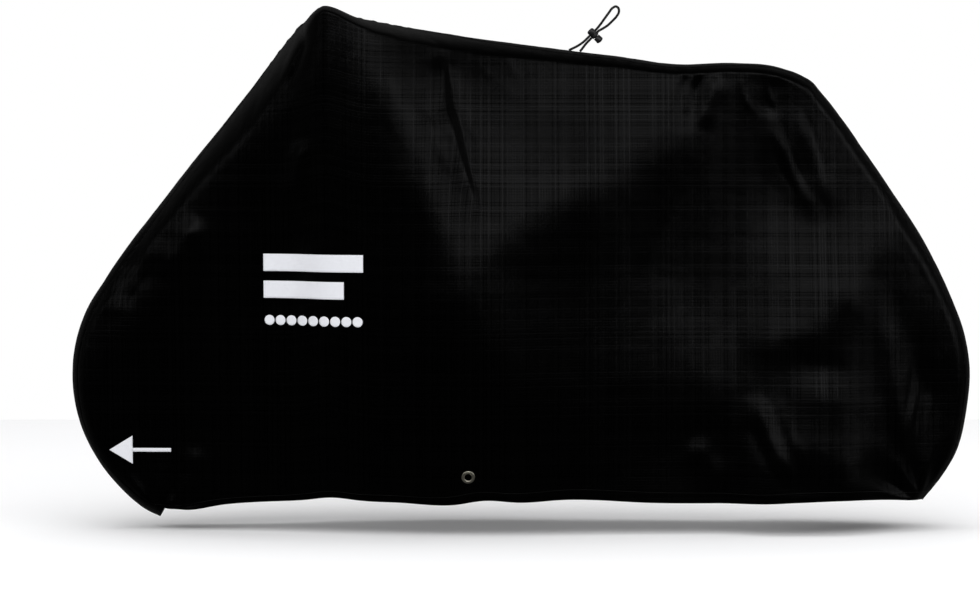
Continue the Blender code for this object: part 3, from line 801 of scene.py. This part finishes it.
def ripstop_cloth(settings):
    """Black coated cloth with raised ripstop threads and a fine plain weave."""
    made, tree, surface = new_material("ripstop_cloth")
    vector, u, v = flat_coordinates(tree)
    threads_u, bright_u = ripstop_threads(tree, u, settings.pitch, 3.0)
    threads_v, bright_v = ripstop_threads(tree, v, settings.pitch, 57.0)
    threads = sums(tree, "MAXIMUM", threads_u, threads_v)
    bright = sums(tree, "MAXIMUM", bright_u, bright_v)
    weave_pitch = settings.pitch / WEAVE_IN_PITCH
    weave = sums(tree, "MULTIPLY", waves(tree, u, weave_pitch), waves(tree, v, weave_pitch))
    cloudy = noise_node(tree, vector, 9.0, 4.0)
    colour = mixed(tree, bright, (*settings.colour, 1), (*settings.thread_colour, 1))
    feed(tree, surface.inputs["Base Color"], colour)
    feed(tree, surface.inputs["Metallic"], threads)
    smooth, rough = settings.roughness - 0.05, settings.roughness + 0.06
    feed(tree, surface.inputs["Roughness"], ranged(tree, cloudy, 0.25, 0.75, smooth, rough))
    surface.inputs["Specular IOR Level"].default_value = 0.09
    raised = sums(tree, "ADD", sums(tree, "MULTIPLY", threads, 0.5), sums(tree, "MULTIPLY", weave, 0.22))
    uneven = sums(tree, "MULTIPLY", noise_node(tree, vector, 160.0), 1.2)
    bump(tree, surface, sums(tree, "ADD", raised, uneven), 0.00012)
    return made


def stitch_thread(settings):
    """Dull black thread with a twist."""
    made, tree, surface = new_material("stitch_thread")
    twist = noise_node(tree, own_coordinates(tree), 900.0, 2.0)
    colour = mixed(tree, twist, (*settings.colour, 1), (0.012, 0.012, 0.012, 1))
    feed(tree, surface.inputs["Base Color"], colour)
    surface.inputs["Roughness"].default_value = 0.6
    bump(tree, surface, twist, 0.0001)
    return made


def aged_brass(colour):
    """Brass with duller, tarnished patches."""
    made, tree, surface = new_material("aged_brass")
    place = own_coordinates(tree)
    tarnish = ranged(tree, noise_node(tree, place, 240.0, 5.0), 0.35, 0.7, 0.0, 1.0)
    toned(tree, surface, tarnish, colour, 0.55)
    feed(tree, surface.inputs["Roughness"], ranged(tree, tarnish, 0.0, 1.0, 0.24, 0.48))
    surface.inputs["Metallic"].default_value = 1.0
    bump(tree, surface, noise_node(tree, place, 900.0), 0.00004)
    return made


def braided_cord(colour):
    """A tight sleeve of crossing strands, on flat sizes along and round the cord, with painted shade in
    the gaps between the strands.
    """
    made, tree, surface = new_material("braided_cord")
    vector, along, around = flat_coordinates(tree)
    one_way = waves(tree, sums(tree, "ADD", along, around), BRAID_STRAND)
    other_way = waves(tree, sums(tree, "SUBTRACT", along, around), BRAID_STRAND)
    raised = ranged(tree, sums(tree, "MAXIMUM", one_way, other_way), -0.4, 1.0, 0.0, 1.0)
    # painted shade: the base colour follows the strands' height, lighter on their crests and darker in the
    # gaps between them
    toned(tree, surface, raised, colour, 2.2)
    worn = noise_node(tree, vector, 700.0)
    feed(tree, surface.inputs["Roughness"], ranged(tree, worn, 0.3, 0.7, 0.55, 0.75))
    bump(tree, surface, raised, 0.00025)
    return made


def moulded_plastic(colour):
    """Black plastic with a fine grain and scuffed patches."""
    made, tree, surface = new_material("moulded_plastic")
    place = own_coordinates(tree)
    grain = noise_node(tree, place, 1500.0, 2.0)
    scuff = noise_node(tree, place, 130.0, 4.0)
    toned(tree, surface, scuff, colour, 1.8)
    feed(tree, surface.inputs["Roughness"], ranged(tree, scuff, 0.3, 0.7, 0.32, 0.46))
    bump(tree, surface, grain, 0.00003)
    return made


def reflective_ink(colour):
    """Pale ink with fine glass beads, a little worn."""
    made, tree, surface = new_material("reflective_ink")
    place = own_coordinates(tree)
    beads = noise_node(tree, place, 2200.0, 1.0)
    worn = ranged(tree, noise_node(tree, place, 60.0, 5.0), 0.55, 0.85, 0.0, 0.35)
    toned(tree, surface, worn, colour, 0.75)
    feed(tree, surface.inputs["Roughness"], ranged(tree, beads, 0.3, 0.7, 0.5, 0.7))
    bump(tree, surface, beads, 0.00003)
    return made


def stage_floor(colour):
    """A plain pale floor, hardly uneven in tone."""
    made, tree, surface = new_material("stage_floor")
    toned(tree, surface, noise_node(tree, own_coordinates(tree), 1.5, 2.0), colour, 0.985)
    surface.inputs["Roughness"].default_value = 0.9
    surface.inputs["Specular IOR Level"].default_value = 0.0
    return made


def shared_material(name, maker, *settings):
    """A material that several pieces share, made once."""
    return bpy.data.materials.get(name) or maker(*settings)


# ---- the cloth
PUCKER_REACH = 0.012  # from a seam, over which its puckers die out
GROOVE_DEPTH, GROOVE_WIDTH = 0.0007, 0.003  # of the groove that a seam draws
HEM_STEP, HEM_BLEND = 0.0005, 0.001  # rise of the doubled cloth, and half the length it comes up over
HEM_GROOVE_DEPTH, HEM_GROOVE_WIDTH = 0.0006, 0.0018  # along the hem's stitches
EYELET_CUT = 0.0089  # radius of the hole in the cloth, just clear of the eyelet's barrel
STRIP_ROWS, STRIP_COLUMNS = 760, 22  # cells along the strip and across it
STITCH_COLUMN = 3  # where the seam's stitches run, counted from the strip's edge


def up_from_hem(places):
    """How far each point lies from the hem, up its column."""
    steps = np.linalg.norm(np.diff(places, axis=1), axis=2)
    from_top = np.concatenate([np.zeros((len(places), 1)), np.cumsum(steps, axis=1)], axis=1)
    return from_top[:, -1:] - from_top


def seam_relief(settings, along, from_seam):
    """The puckers and the groove beside a seam."""
    puckers = settings.pucker * seam_pucker(along) * np.exp(-from_seam / PUCKER_REACH)
    return puckers - GROOVE_DEPTH * np.exp(-((from_seam / GROOVE_WIDTH) ** 2))


def draped(flat, side):
    """A panel's points with its folds, the same points on the cut cloth, and how far along the crest."""
    grid = flat.shape[:2]
    flat_points = flat.reshape(-1, 2)
    x, height = flat_points.T
    half, inside, along = plain_half_width(x, height)
    nearest = np.searchsorted(CREST_ALONG, along)
    outward = (CREST[nearest] - flat_points) / np.maximum(inside, 0.002)[:, None]
    turned_over = wall_half_width(x, height) - half
    cut = (flat_points + outward * turned_over[:, None]).reshape(flat.shape)
    folds = SHARED_FOLDS + (LEFT_FOLDS if side < 0 else RIGHT_FOLDS)
    loose = fold_height(folds, x, height) + gather_height(side, x, height)
    half = (half + loose * fade(inside, 0.006, 0.04)).reshape(grid)
    half[0] = half[-1] = half[:, 0] = STRIP_HALF + SEAM_GAP / 2
    lift = shoulder_lift(flat[..., 0], half)
    places = np.stack([flat[..., 0], side * half, flat[..., 1] + lift - ORIGIN_HEIGHT], axis=2)
    return places, cut, along.reshape(grid)


def panel_relief(flat, places, along, up_hem, side, settings):
    """How far the creases, the seams and the hem stand out of the draped cloth."""
    grid = flat.shape[:2]
    seams = places[:, :1], places[:1], places[-1:]
    from_seam = np.minimum.reduce([np.linalg.norm(places - seam, axis=2) for seam in seams])
    finer = LEFT_CREASES if side < 0 else RIGHT_CREASES
    creases = crease_height(finer, flat[..., 0].ravel(), flat[..., 1].ravel()).reshape(grid)
    crumple = settings.crumple * crumple_height(places.reshape(-1, 3), 1.0 + side).reshape(grid)
    calm = fade(from_seam, 0.004, 0.035) * (0.35 + 0.65 * fade(up_hem, 0.0, 0.03))
    rise = (creases + crumple) * calm + seam_relief(settings, along, from_seam)
    hem = settings.hem_depth
    rise += HEM_STEP * (1 - fade(up_hem, hem - HEM_BLEND, hem + HEM_BLEND))
    rise -= HEM_GROOVE_DEPTH * np.exp(-(((up_hem - hem) / HEM_GROOVE_WIDTH) ** 2))
    for corner in (places[0, 0], places[-1, 0]):
        rise *= fade(np.linalg.norm(places - corner, axis=2), 0.003, 0.030)
    return rise


def side_panel(hand, side, settings):
    """The cloth of one side panel; side is -1 for the left one and 1 for the right one."""
    column_shares = finer_at_ends(PANEL_COLUMNS, settings.columns, both=True)
    row_shares = finer_at_ends(PANEL_ROWS, settings.rows, both=False)
    flat = panel_places(column_shares, row_shares)
    places, cut, along = draped(flat, side)
    normals = grid_normals(places, side)
    up_hem = up_from_hem(places)
    rise = panel_relief(flat, places, along, up_hem, side, settings)
    places = flat_round_eyelet(places + normals * rise[..., None], side)
    LINES[f"{hand}_hem"] = line_across(places, normals, up_hem, settings.hem_depth)
    finish = shared_material("ripstop_cloth", ripstop_cloth, settings)
    piece = grid_object(f"{hand}_panel_cloth", places, cut, finish, inside_out=side > 0)
    thicken(piece, settings.thickness)
    drill(piece, *eyelet_place(side), radius=EYELET_CUT, depth=0.02, sides=48)
    return piece


def flat_round_eyelet(places, side):
    """The cloth lies flat where the eyelet's flanges hold it."""
    dx = places[..., 0] - EYELET_X
    dh = places[..., 2] + ORIGIN_HEIGHT - EYELET_HEIGHT
    plane = side * (EYELET_HALF + EYELET_SLOPE_X * dx + EYELET_SLOPE_H * dh)
    free = fade(np.hypot(dx, dh), EYELET_FLAT, EYELET_FREE)
    settled = places.copy()
    settled[..., 1] = free * places[..., 1] + (1 - free) * plane
    return settled


def eyelet_place(side):
    """The middle of the eyelet on the cloth's outer face, and the direction out of the cover."""
    place = Vector((EYELET_X, side * EYELET_HALF, EYELET_HEIGHT - ORIGIN_HEIGHT))
    return place, Vector((-EYELET_SLOPE_X, side, -EYELET_SLOPE_H)).normalized()


def line_across(places, normals, distance, wanted):
    """Points and normals where the columns of a grid pass a distance."""
    points, outs = [], []
    for column, out, far in zip(places, normals, distance):
        order = np.argsort(far)
        points.append([np.interp(wanted, far[order], column[order, k]) for k in range(3)])
        outs.append([np.interp(wanted, far[order], out[order, k]) for k in range(3)])
    return np.array(points), np.array(outs)


def centre_strip(settings):
    """The cloth of the strip over the crest, and its length."""
    points, inward = crest_line(WHOLE_EDGE, np.linspace(0, 1, STRIP_ROWS + 1))
    t = np.linspace(-1, 1, STRIP_COLUMNS + 1)
    y = STRIP_HALF * (0.75 * t + 0.25 * np.sin(t * math.pi / 2))
    wall = wall_half_width(points[:, 0], points[:, 1])
    depth = depth_at(y[None], wall[:, None], roll_depth(points[:, 0])[:, None])
    places = np.empty((*depth.shape, 3))
    places[..., 0] = points[:, :1] + inward[:, :1] * depth
    places[..., 1] = y
    places[..., 2] = points[:, 1:] + inward[:, 1:] * depth - ORIGIN_HEIGHT
    normals = grid_normals(places, 1)
    along = lengths_along(points)[:, None]
    from_seam = (STRIP_HALF - np.abs(y))[None]
    crumple = settings.crumple * crumple_height(places.reshape(-1, 3), 6.0).reshape(depth.shape)
    rise = 0.8 * crumple * fade(from_seam, 0.002, 0.02) + seam_relief(settings, along, from_seam)
    places = places + normals * rise[..., None]
    LINES["left_seam"] = places[:, STITCH_COLUMN], normals[:, STITCH_COLUMN]
    LINES["right_seam"] = places[:, -1 - STITCH_COLUMN], normals[:, -1 - STITCH_COLUMN]
    flat = np.stack(np.broadcast_arrays(along, y), axis=2)
    finish = shared_material("ripstop_cloth", ripstop_cloth, settings)
    piece = grid_object("centre_strip_cloth", places, flat, finish, inside_out=True)
    thicken(piece, settings.thickness)
    return with_modifiers_applied(piece), along[-1, 0]


STITCH_HALF, STITCH_RISE = 0.00045, 0.00030  # half its width, and how far it stands up
STITCH_SHARE = 0.68  # of its pitch that a stitch takes, and the rest is the gap


def stitches(name, lines, pitch, finish):
    """One mesh of short raised stitches along lines of points with their normals."""
    shape = bmesh.new()
    for points, normals in lines:
        along = lengths_along(points)
        for start in np.arange(0.004, along[-1] - pitch, pitch):
            ends = start, start + STITCH_SHARE * pitch
            a, b = (Vector([np.interp(s, along, points[:, k]) for k in range(3)]) for s in ends)
            out = Vector([np.interp(start, along, normals[:, k]) for k in range(3)]).normalized()
            across = (b - a).normalized().cross(out) * STITCH_HALF
            tips = [shape.verts.new(end - out * 0.0001) for end in (a, b)]
            rings = []
            for share in (0.22, 0.78):
                middle = a.lerp(b, share) + out * 0.00005
                up = out * STITCH_RISE
                ring = [middle + across, middle + up, middle - across, middle - up]
                rings.append([shape.verts.new(p) for p in ring])
            for k in range(4):
                n = (k + 1) % 4
                shape.faces.new((tips[0], rings[0][k], rings[0][n]))
                shape.faces.new((rings[0][k], rings[1][k], rings[1][n], rings[0][n]))
                shape.faces.new((tips[1], rings[1][n], rings[1][k]))
    bmesh.ops.recalc_face_normals(shape, faces=shape.faces)
    return object_from(shape, name, finish)


# ---- eyelets, cord and lock
EYELET_BARREL, EYELET_RIM = 0.0086, 0.0022  # radius of its barrel, and how far its dome stands up
CORD_SIDES, CORD_STEPS = 20, 299  # cells round the cord and along it
LOCK_X, LOCK_HEIGHT, LOCK_Y = 0.564, 1.0415, 0.004
LOCK_TURN = math.radians(45)  # of its axis from upright, with its button towards the tail
LOCK_RADIUS, LOCK_LENGTH, LOCK_BORE = 0.0080, 0.0210, 0.0045
BUTTON_RADIUS, BUTTON_LENGTH, BUTTON_TRAVEL = 0.0080, 0.0146, 0.0008
STRAND_HOLE, CORD_SPACING = 0.0027, 0.0058  # radius of a hole, and between the two strands
GRIP_GROOVE = ((0.0, 0.0006), (0.0004, 0.0003), (0.0004, -0.0003), (0.0, -0.0006))  # depth and height
GRIP_TOP, GRIP_PITCH, GRIP_GROOVES = 0.0028, 0.0016, 3  # from the top, between two, and how many


def quarter_turn(steps=8):
    """The cosine and the sine at even steps of a quarter turn."""
    turns = [math.pi / 2 * k / steps for k in range(steps + 1)]
    return [(math.cos(a), math.sin(a)) for a in turns]


def eyelet(name, side, trim):
    """A rolled eyelet: a domed flange on each face of the cloth and a barrel through it."""
    hole, flange = trim.eyelet_hole, trim.eyelet_flange
    middle, reach = (hole + flange) / 2, (flange - hole) / 2
    front, back = 0.0003, -CLOTH - 0.0003
    dome = []
    for k in range(1, 12):
        turn = math.pi * k / 12
        dome.append((middle - reach * math.cos(turn), front + EYELET_RIM * math.sin(turn) ** 0.9))
    under = [
        (flange, front),
        (EYELET_BARREL, front),
        (EYELET_BARREL, back),
        (flange - 0.0010, back),
        (flange - 0.0016, back - 0.0006),
        (middle, back - 0.0012),
        (hole + 0.0006, back - 0.0011),
        (hole, back),
    ]
    ring = turned(name, dome + under, 72, shared_material("aged_brass", aged_brass, trim.brass))
    stand(ring, *eyelet_place(side))
    return ring


def cord_tube(trim):
    """The shock cord as a tube, its route and its length."""
    route = [(p.x, p.y, p.height - ORIGIN_HEIGHT) for p in CORD_ROUTE]
    points = drawn(route, np.linspace(0, 1, CORD_STEPS + 1))
    along = lengths_along(points)
    runs = unit(np.gradient(points, axis=0))
    across = unit(np.cross(runs, (0, 1, 0)))
    other = np.cross(runs, across)
    radius = trim.cord_diameter / 2
    turns = np.linspace(0, 2 * math.pi, CORD_SIDES + 1)
    flat = np.stack(np.broadcast_arrays(along[:, None], radius * turns), axis=2)
    cos, sin = np.cos(turns[:-1, None]), np.sin(turns[:-1, None])
    rings = points[:, None] + radius * (cos * across[:, None] + sin * other[:, None])
    tube = grid_object("braided_cord", rings, flat, braided_cord(trim.cord), tube=True)
    return tube, points, along[-1]


def cord_lock(trim):
    """The barrel with its grip grooves, and the sprung button."""
    finish = shared_material("moulded_plastic", moulded_plastic, trim.plastic)
    centre = Vector((LOCK_X, LOCK_Y, LOCK_HEIGHT - ORIGIN_HEIGHT))
    down = Vector((math.sin(LOCK_TURN), 0, -math.cos(LOCK_TURN)))  # to the button
    strands = Vector((math.cos(LOCK_TURN), 0, math.sin(LOCK_TURN)))
    r, b = LOCK_RADIUS, BUTTON_RADIUS
    top, bottom = 0.37 * LOCK_LENGTH, -0.60 * LOCK_LENGTH
    grip = []
    for k in range(GRIP_GROOVES):
        middle = top - GRIP_TOP - GRIP_PITCH * k
        grip += [(r - depth, middle + height) for depth, height in GRIP_GROOVE]
    barrel = [
        (0, top - 0.0016),
        (LOCK_BORE, top - 0.0016),
        (LOCK_BORE, top - 0.0004),
        (LOCK_BORE + 0.0004, top),
        (0.82 * r, top),
        (0.94 * r, top - 0.07 * r),
        (r, top - 0.20 * r),
        *grip,
        *((r * (0.35 + 0.65 * cos), bottom + 0.55 * r * (1 - sin)) for cos, sin in quarter_turn()),
        (0, bottom),
    ]
    body = turned("lock_barrel", barrel, 64, finish)
    stand(body, centre, down)
    for offset in (-CORD_SPACING / 2, CORD_SPACING / 2):
        drill(body, centre + offset * down, strands, radius=STRAND_HOLE, depth=4 * r, sides=32)
    foot = top + BUTTON_TRAVEL
    crown = foot + BUTTON_LENGTH - BUTTON_TRAVEL
    button = [
        *((b * sin, crown - 0.5 * b * (1 - cos)) for cos, sin in quarter_turn()),
        (0.985 * b, crown - 0.65 * b),
        (0.92 * b, foot + 0.0003),
        (0.88 * b, foot),
        (LOCK_BORE - 0.0003, foot),
        (LOCK_BORE - 0.0003, top - 0.0013),
        (0, top - 0.0013),
    ]
    cap = turned("lock_button", button, 64, finish)
    stand(cap, centre, down)
    return body, cap


# ---- prints on the left panel
Bar = namedtuple("Bar", "x0 x1 h0 h1")
BARS = table(
    Bar,
    (-0.123, 0.087, 0.548, 0.584),
    (-0.123, 0.047, 0.492, 0.528),
    (-0.403, -0.322, 0.166, 0.174),
)
ARROW_HEAD = [(-0.452, 0.170), (-0.403, 0.140), (-0.403, 0.200)]  # the last bar is its shaft
FIRST_DOT, LAST_DOT, DOT_HEIGHT, DOTS = -0.111, 0.075, 0.446, 9  # x of the ends, height, how many
DOT_RADIUS, DOT_SIDES = 0.0105, 28
GRID_STEP = 0.0045  # between the points of a print on the cloth
INK_LIFT, INK_THICKNESS = 0.00045, 0.00030  # from the cloth to the outer face of the ink


def outline_faces(shape, outline, step):
    """Fills a convex outline in x and height with small faces, so that it follows the cloth."""
    flat = bmesh.new()
    flat.faces.new([flat.verts.new((x, 0, h)) for x, h in outline])
    xs, hs = [x for x, _ in outline], [h for _, h in outline]
    for axis, low, high in (((1, 0, 0), min(xs), max(xs)), ((0, 0, 1), min(hs), max(hs))):
        for place in np.arange(low + step, high - 0.2 * step, step):
            bmesh.ops.bisect_plane(
                flat,
                geom=flat.verts[:] + flat.edges[:] + flat.faces[:],
                plane_co=tuple(place * a for a in axis),
                plane_no=axis,
                dist=1e-6,
            )
    copies = {v: shape.verts.new(v.co) for v in flat.verts}
    for face in flat.faces:
        shape.faces.new([copies[v] for v in face.verts])
    flat.free()


def prints(panel, trim):
    """A direction arrow and a plain reflective motif, lying on the left panel's cloth."""
    outlines = []
    for bar in BARS:
        outlines.append([(bar.x0, bar.h0), (bar.x1, bar.h0), (bar.x1, bar.h1), (bar.x0, bar.h1)])
    outlines.append(ARROW_HEAD)
    turns = [2 * math.pi * k / DOT_SIDES for k in range(DOT_SIDES)]
    for x in np.linspace(FIRST_DOT, LAST_DOT, DOTS):
        dot = [(x + DOT_RADIUS * math.cos(a), DOT_HEIGHT + DOT_RADIUS * math.sin(a)) for a in turns]
        outlines.append(dot)
    shape = bmesh.new()
    for outline in outlines:
        outline_faces(shape, outline, GRID_STEP)
    cloth = BVHTree.FromObject(panel, bpy.context.evaluated_depsgraph_get())
    for vertex in shape.verts:
        start = Vector((vertex.co.x, -1.0, vertex.co.z - ORIGIN_HEIGHT))
        hit, normal, _, _ = cloth.ray_cast(start, Vector((0, 1, 0)))
        if hit is None:
            raise RuntimeError(f"no cloth behind the print at {tuple(start)}")
        vertex.co = hit + normal * INK_LIFT
    bmesh.ops.recalc_face_normals(shape, faces=shape.faces)
    piece = object_from(shape, "prints", reflective_ink(trim.ink))
    if sum(polygon.normal.y * polygon.area for polygon in piece.data.polygons) > 0:
        piece.data.flip_normals()
    thicken(piece, INK_THICKNESS)
    return with_modifiers_applied(piece)


# ---- camera and lights
VIEW_WIDTH = 2.068  # metres that the photograph shows across the middle plane
AIM_X, AIM_HEIGHT = 0.346, 0.482
SHEEN_FILL = 0.05  # how bright the surroundings are in the cloth's sheen

SoftBox = namedtuple("SoftBox", "name light share place target width depth")
SOFT_BOXES = table(
    SoftBox,
    ("front_soft_box", "front_light", 1.12, (1.0, -5.0, 2.85), (1.0, 0, -0.5), 9.0, 2.9),
    ("left_soft_box", "front_light", 0.25, (-5.2, -2.6, 3.0), (0.4, 0, -0.5), 4.5, 2.4),
    ("right_soft_box", "front_light", 0.6, (6.5, -2.1, 2.2), (0.4, 0, -0.5), 4.0, 4.2),
    ("back_soft_box", "back_light", 1.0, (0.4, 3.0, 4.2), (0.4, 0, -1.0), 6.0, 2.0),
    ("top_soft_box", "top_light", 1.0, (0.4, -0.4, 4.6), (0.4, 0, -1.0), 6.0, 3.0),
    ("under_lamp", "under_light", 1.0, (0.4, 0.0, -0.93), (0.4, 0, -1.0), 1.3, 0.2),
)


# ---- operators
class COVER_OT_camera(bpy.types.Operator):
    """Puts the camera where the photograph was taken from"""

    bl_idname = "cover.camera"
    bl_label = "Camera"

    def execute(self, context):
        stage = context.scene.cover_stage
        lens = bpy.data.cameras.new("camera")
        lens.sensor_width = 36.0
        lens.lens = lens.sensor_width * stage.camera_distance / VIEW_WIDTH
        lens.clip_end = 100.0
        camera = bpy.data.objects.new("camera", lens)
        context.scene.collection.objects.link(camera)
        place = (AIM_X, -stage.camera_distance, stage.camera_height - ORIGIN_HEIGHT)
        camera.location = place
        camera.rotation_euler = facing(place, (AIM_X, 0.0, AIM_HEIGHT - ORIGIN_HEIGHT))
        context.scene.camera = camera
        return {"FINISHED"}


class COVER_OT_cord(bpy.types.Operator):
    """Makes the shock cord with its lock"""

    bl_idname = "cover.cord"
    bl_label = "Shock cord and lock"

    def execute(self, context):
        trim = context.scene.cover_trim
        tube, points, length = cord_tube(trim)
        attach(tube, "root")
        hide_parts("shock_cord")
        barrel, button = cord_lock(trim)
        for piece, node in ((barrel, "cord_lock_barrel"), (button, "cord_lock_button")):
            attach(piece, "root")
            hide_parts(node)
        return {"FINISHED"}


class COVER_OT_side_panels(bpy.types.Operator):
    """Makes both side panels"""

    bl_idname = "cover.side_panels"
    bl_label = "Side panels"

    def execute(self, context):
        settings = context.scene.cover_cloth
        for hand, side in (("left", -1), ("right", 1)):
            piece = side_panel(hand, side, settings)
            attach(piece, "root")
            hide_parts(f"{hand}_side_panel")
        return {"FINISHED"}


class COVER_OT_centre_strip(bpy.types.Operator):
    """Makes the strip between the side panels"""

    bl_idname = "cover.centre_strip"
    bl_label = "Centre strip"

    def execute(self, context):
        piece, length = centre_strip(context.scene.cover_cloth)
        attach(piece, "root")
        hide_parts("centre_strip")
        return {"FINISHED"}


class COVER_OT_stitching(bpy.types.Operator):
    """Sews the seams and the hems"""

    bl_idname = "cover.stitching"
    bl_label = "Stitching"

    def execute(self, context):
        trim = context.scene.cover_trim
        finish = stitch_thread(context.scene.cover_cloth)
        for kind in ("seam", "hem"):
            lines = [LINES[f"left_{kind}"], LINES[f"right_{kind}"]]
            piece = stitches(f"{kind}_stitches", lines, trim.stitch, finish)
            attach(piece, "root")
        return {"FINISHED"}


class COVER_OT_eyelets(bpy.types.Operator):
    """Sets an eyelet in each side panel"""

    bl_idname = "cover.eyelets"
    bl_label = "Eyelets"

    def execute(self, context):
        for hand, side in (("left", -1), ("right", 1)):
            piece = eyelet(f"{hand}_brass_eyelet", side, context.scene.cover_trim)
            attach(piece, "root")
            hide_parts(f"{hand}_eyelet")
        return {"FINISHED"}


class COVER_OT_prints(bpy.types.Operator):
    """Prints the arrow and the reflective motif on the left panel"""

    bl_idname = "cover.prints"
    bl_label = "Prints"

    def execute(self, context):
        piece = prints(bpy.data.objects["left_panel_cloth"], context.scene.cover_trim)
        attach(piece, "root")
        return {"FINISHED"}


class COVER_OT_stage(bpy.types.Operator):
    """Makes the floor, the lights and the background"""

    bl_idname = "cover.stage"
    bl_label = "Stage"

    def execute(self, context):
        scene = context.scene
        stage = scene.cover_stage
        bpy.ops.mesh.primitive_plane_add(size=6, location=(0.4, 0, -ORIGIN_HEIGHT))
        floor = context.object
        floor.name = "floor"
        floor.data.materials.append(stage_floor(stage.floor))
        floor.visible_glossy = False
        for box in SOFT_BOXES:
            light = bpy.data.lights.new(box.name, "AREA")
            light.shape = "RECTANGLE"
            light.size, light.size_y = box.width, box.depth
            light.energy = box.share * getattr(stage, box.light)
            lamp = bpy.data.objects.new(box.name, light)
            lamp.location = box.place
            lamp.rotation_euler = facing(box.place, box.target)
            lamp.visible_glossy = box.place[1] < -1  # only the boxes in front show in the sheen
            scene.collection.objects.link(lamp)
        world = bpy.data.worlds.new("studio")
        world.use_nodes = True
        tree = world.node_tree
        background = tree.nodes["Background"]
        rays = tree.nodes.new("ShaderNodeLightPath").outputs
        fill = sums(tree, "MULTIPLY", rays["Is Diffuse Ray"], stage.fill)
        white = sums(tree, "ADD", sums(tree, "MAXIMUM", rays["Is Camera Ray"], SHEEN_FILL), fill)
        tree.links.new(white, background.inputs["Strength"])
        background.inputs["Color"].default_value = (1, 1, 1, 1)
        scene.world = world
        scene.view_settings.view_transform = "Standard"
        return {"FINISHED"}


class COVER_PT_sidebar(bpy.types.Panel):
    """Lists the pieces of the cover"""

    bl_label = "Bicycle Cover"
    bl_idname = "COVER_PT_sidebar"
    bl_space_type = "VIEW_3D"
    bl_region_type = "UI"
    bl_category = "Cover"

    def draw(self, context):
        layout = self.layout
        for group in (context.scene.cover_cloth, context.scene.cover_trim, context.scene.cover_stage):
            box = layout.box()
            for name in group.__annotations__:
                box.prop(group, name)
        for operator in OPERATORS:
            layout.operator(operator.bl_idname)


SETTINGS = (CoverCloth, CoverTrim, CoverStage)
OPERATORS = (
    COVER_OT_camera,
    COVER_OT_cord,
    COVER_OT_side_panels,
    COVER_OT_centre_strip,
    COVER_OT_stitching,
    COVER_OT_eyelets,
    COVER_OT_prints,
    COVER_OT_stage,
)


def register():
    """Adds the settings, the operators and the panel."""
    for made in (*SETTINGS, *OPERATORS, COVER_PT_sidebar):
        bpy.utils.register_class(made)
    bpy.types.Scene.cover_cloth = PointerProperty(type=CoverCloth)
    bpy.types.Scene.cover_trim = PointerProperty(type=CoverTrim)
    bpy.types.Scene.cover_stage = PointerProperty(type=CoverStage)


def unregister():
    """Takes out what register adds."""
    del bpy.types.Scene.cover_cloth, bpy.types.Scene.cover_trim, bpy.types.Scene.cover_stage
    for made in reversed((*SETTINGS, *OPERATORS, COVER_PT_sidebar)):
        bpy.utils.unregister_class(made)


def main():
    """Makes the whole cover."""
    register()
    for operator in OPERATORS:
        group, name = operator.bl_idname.split(".")
        getattr(getattr(bpy.ops, group), name)()


if __name__ == "__main__":
    main()
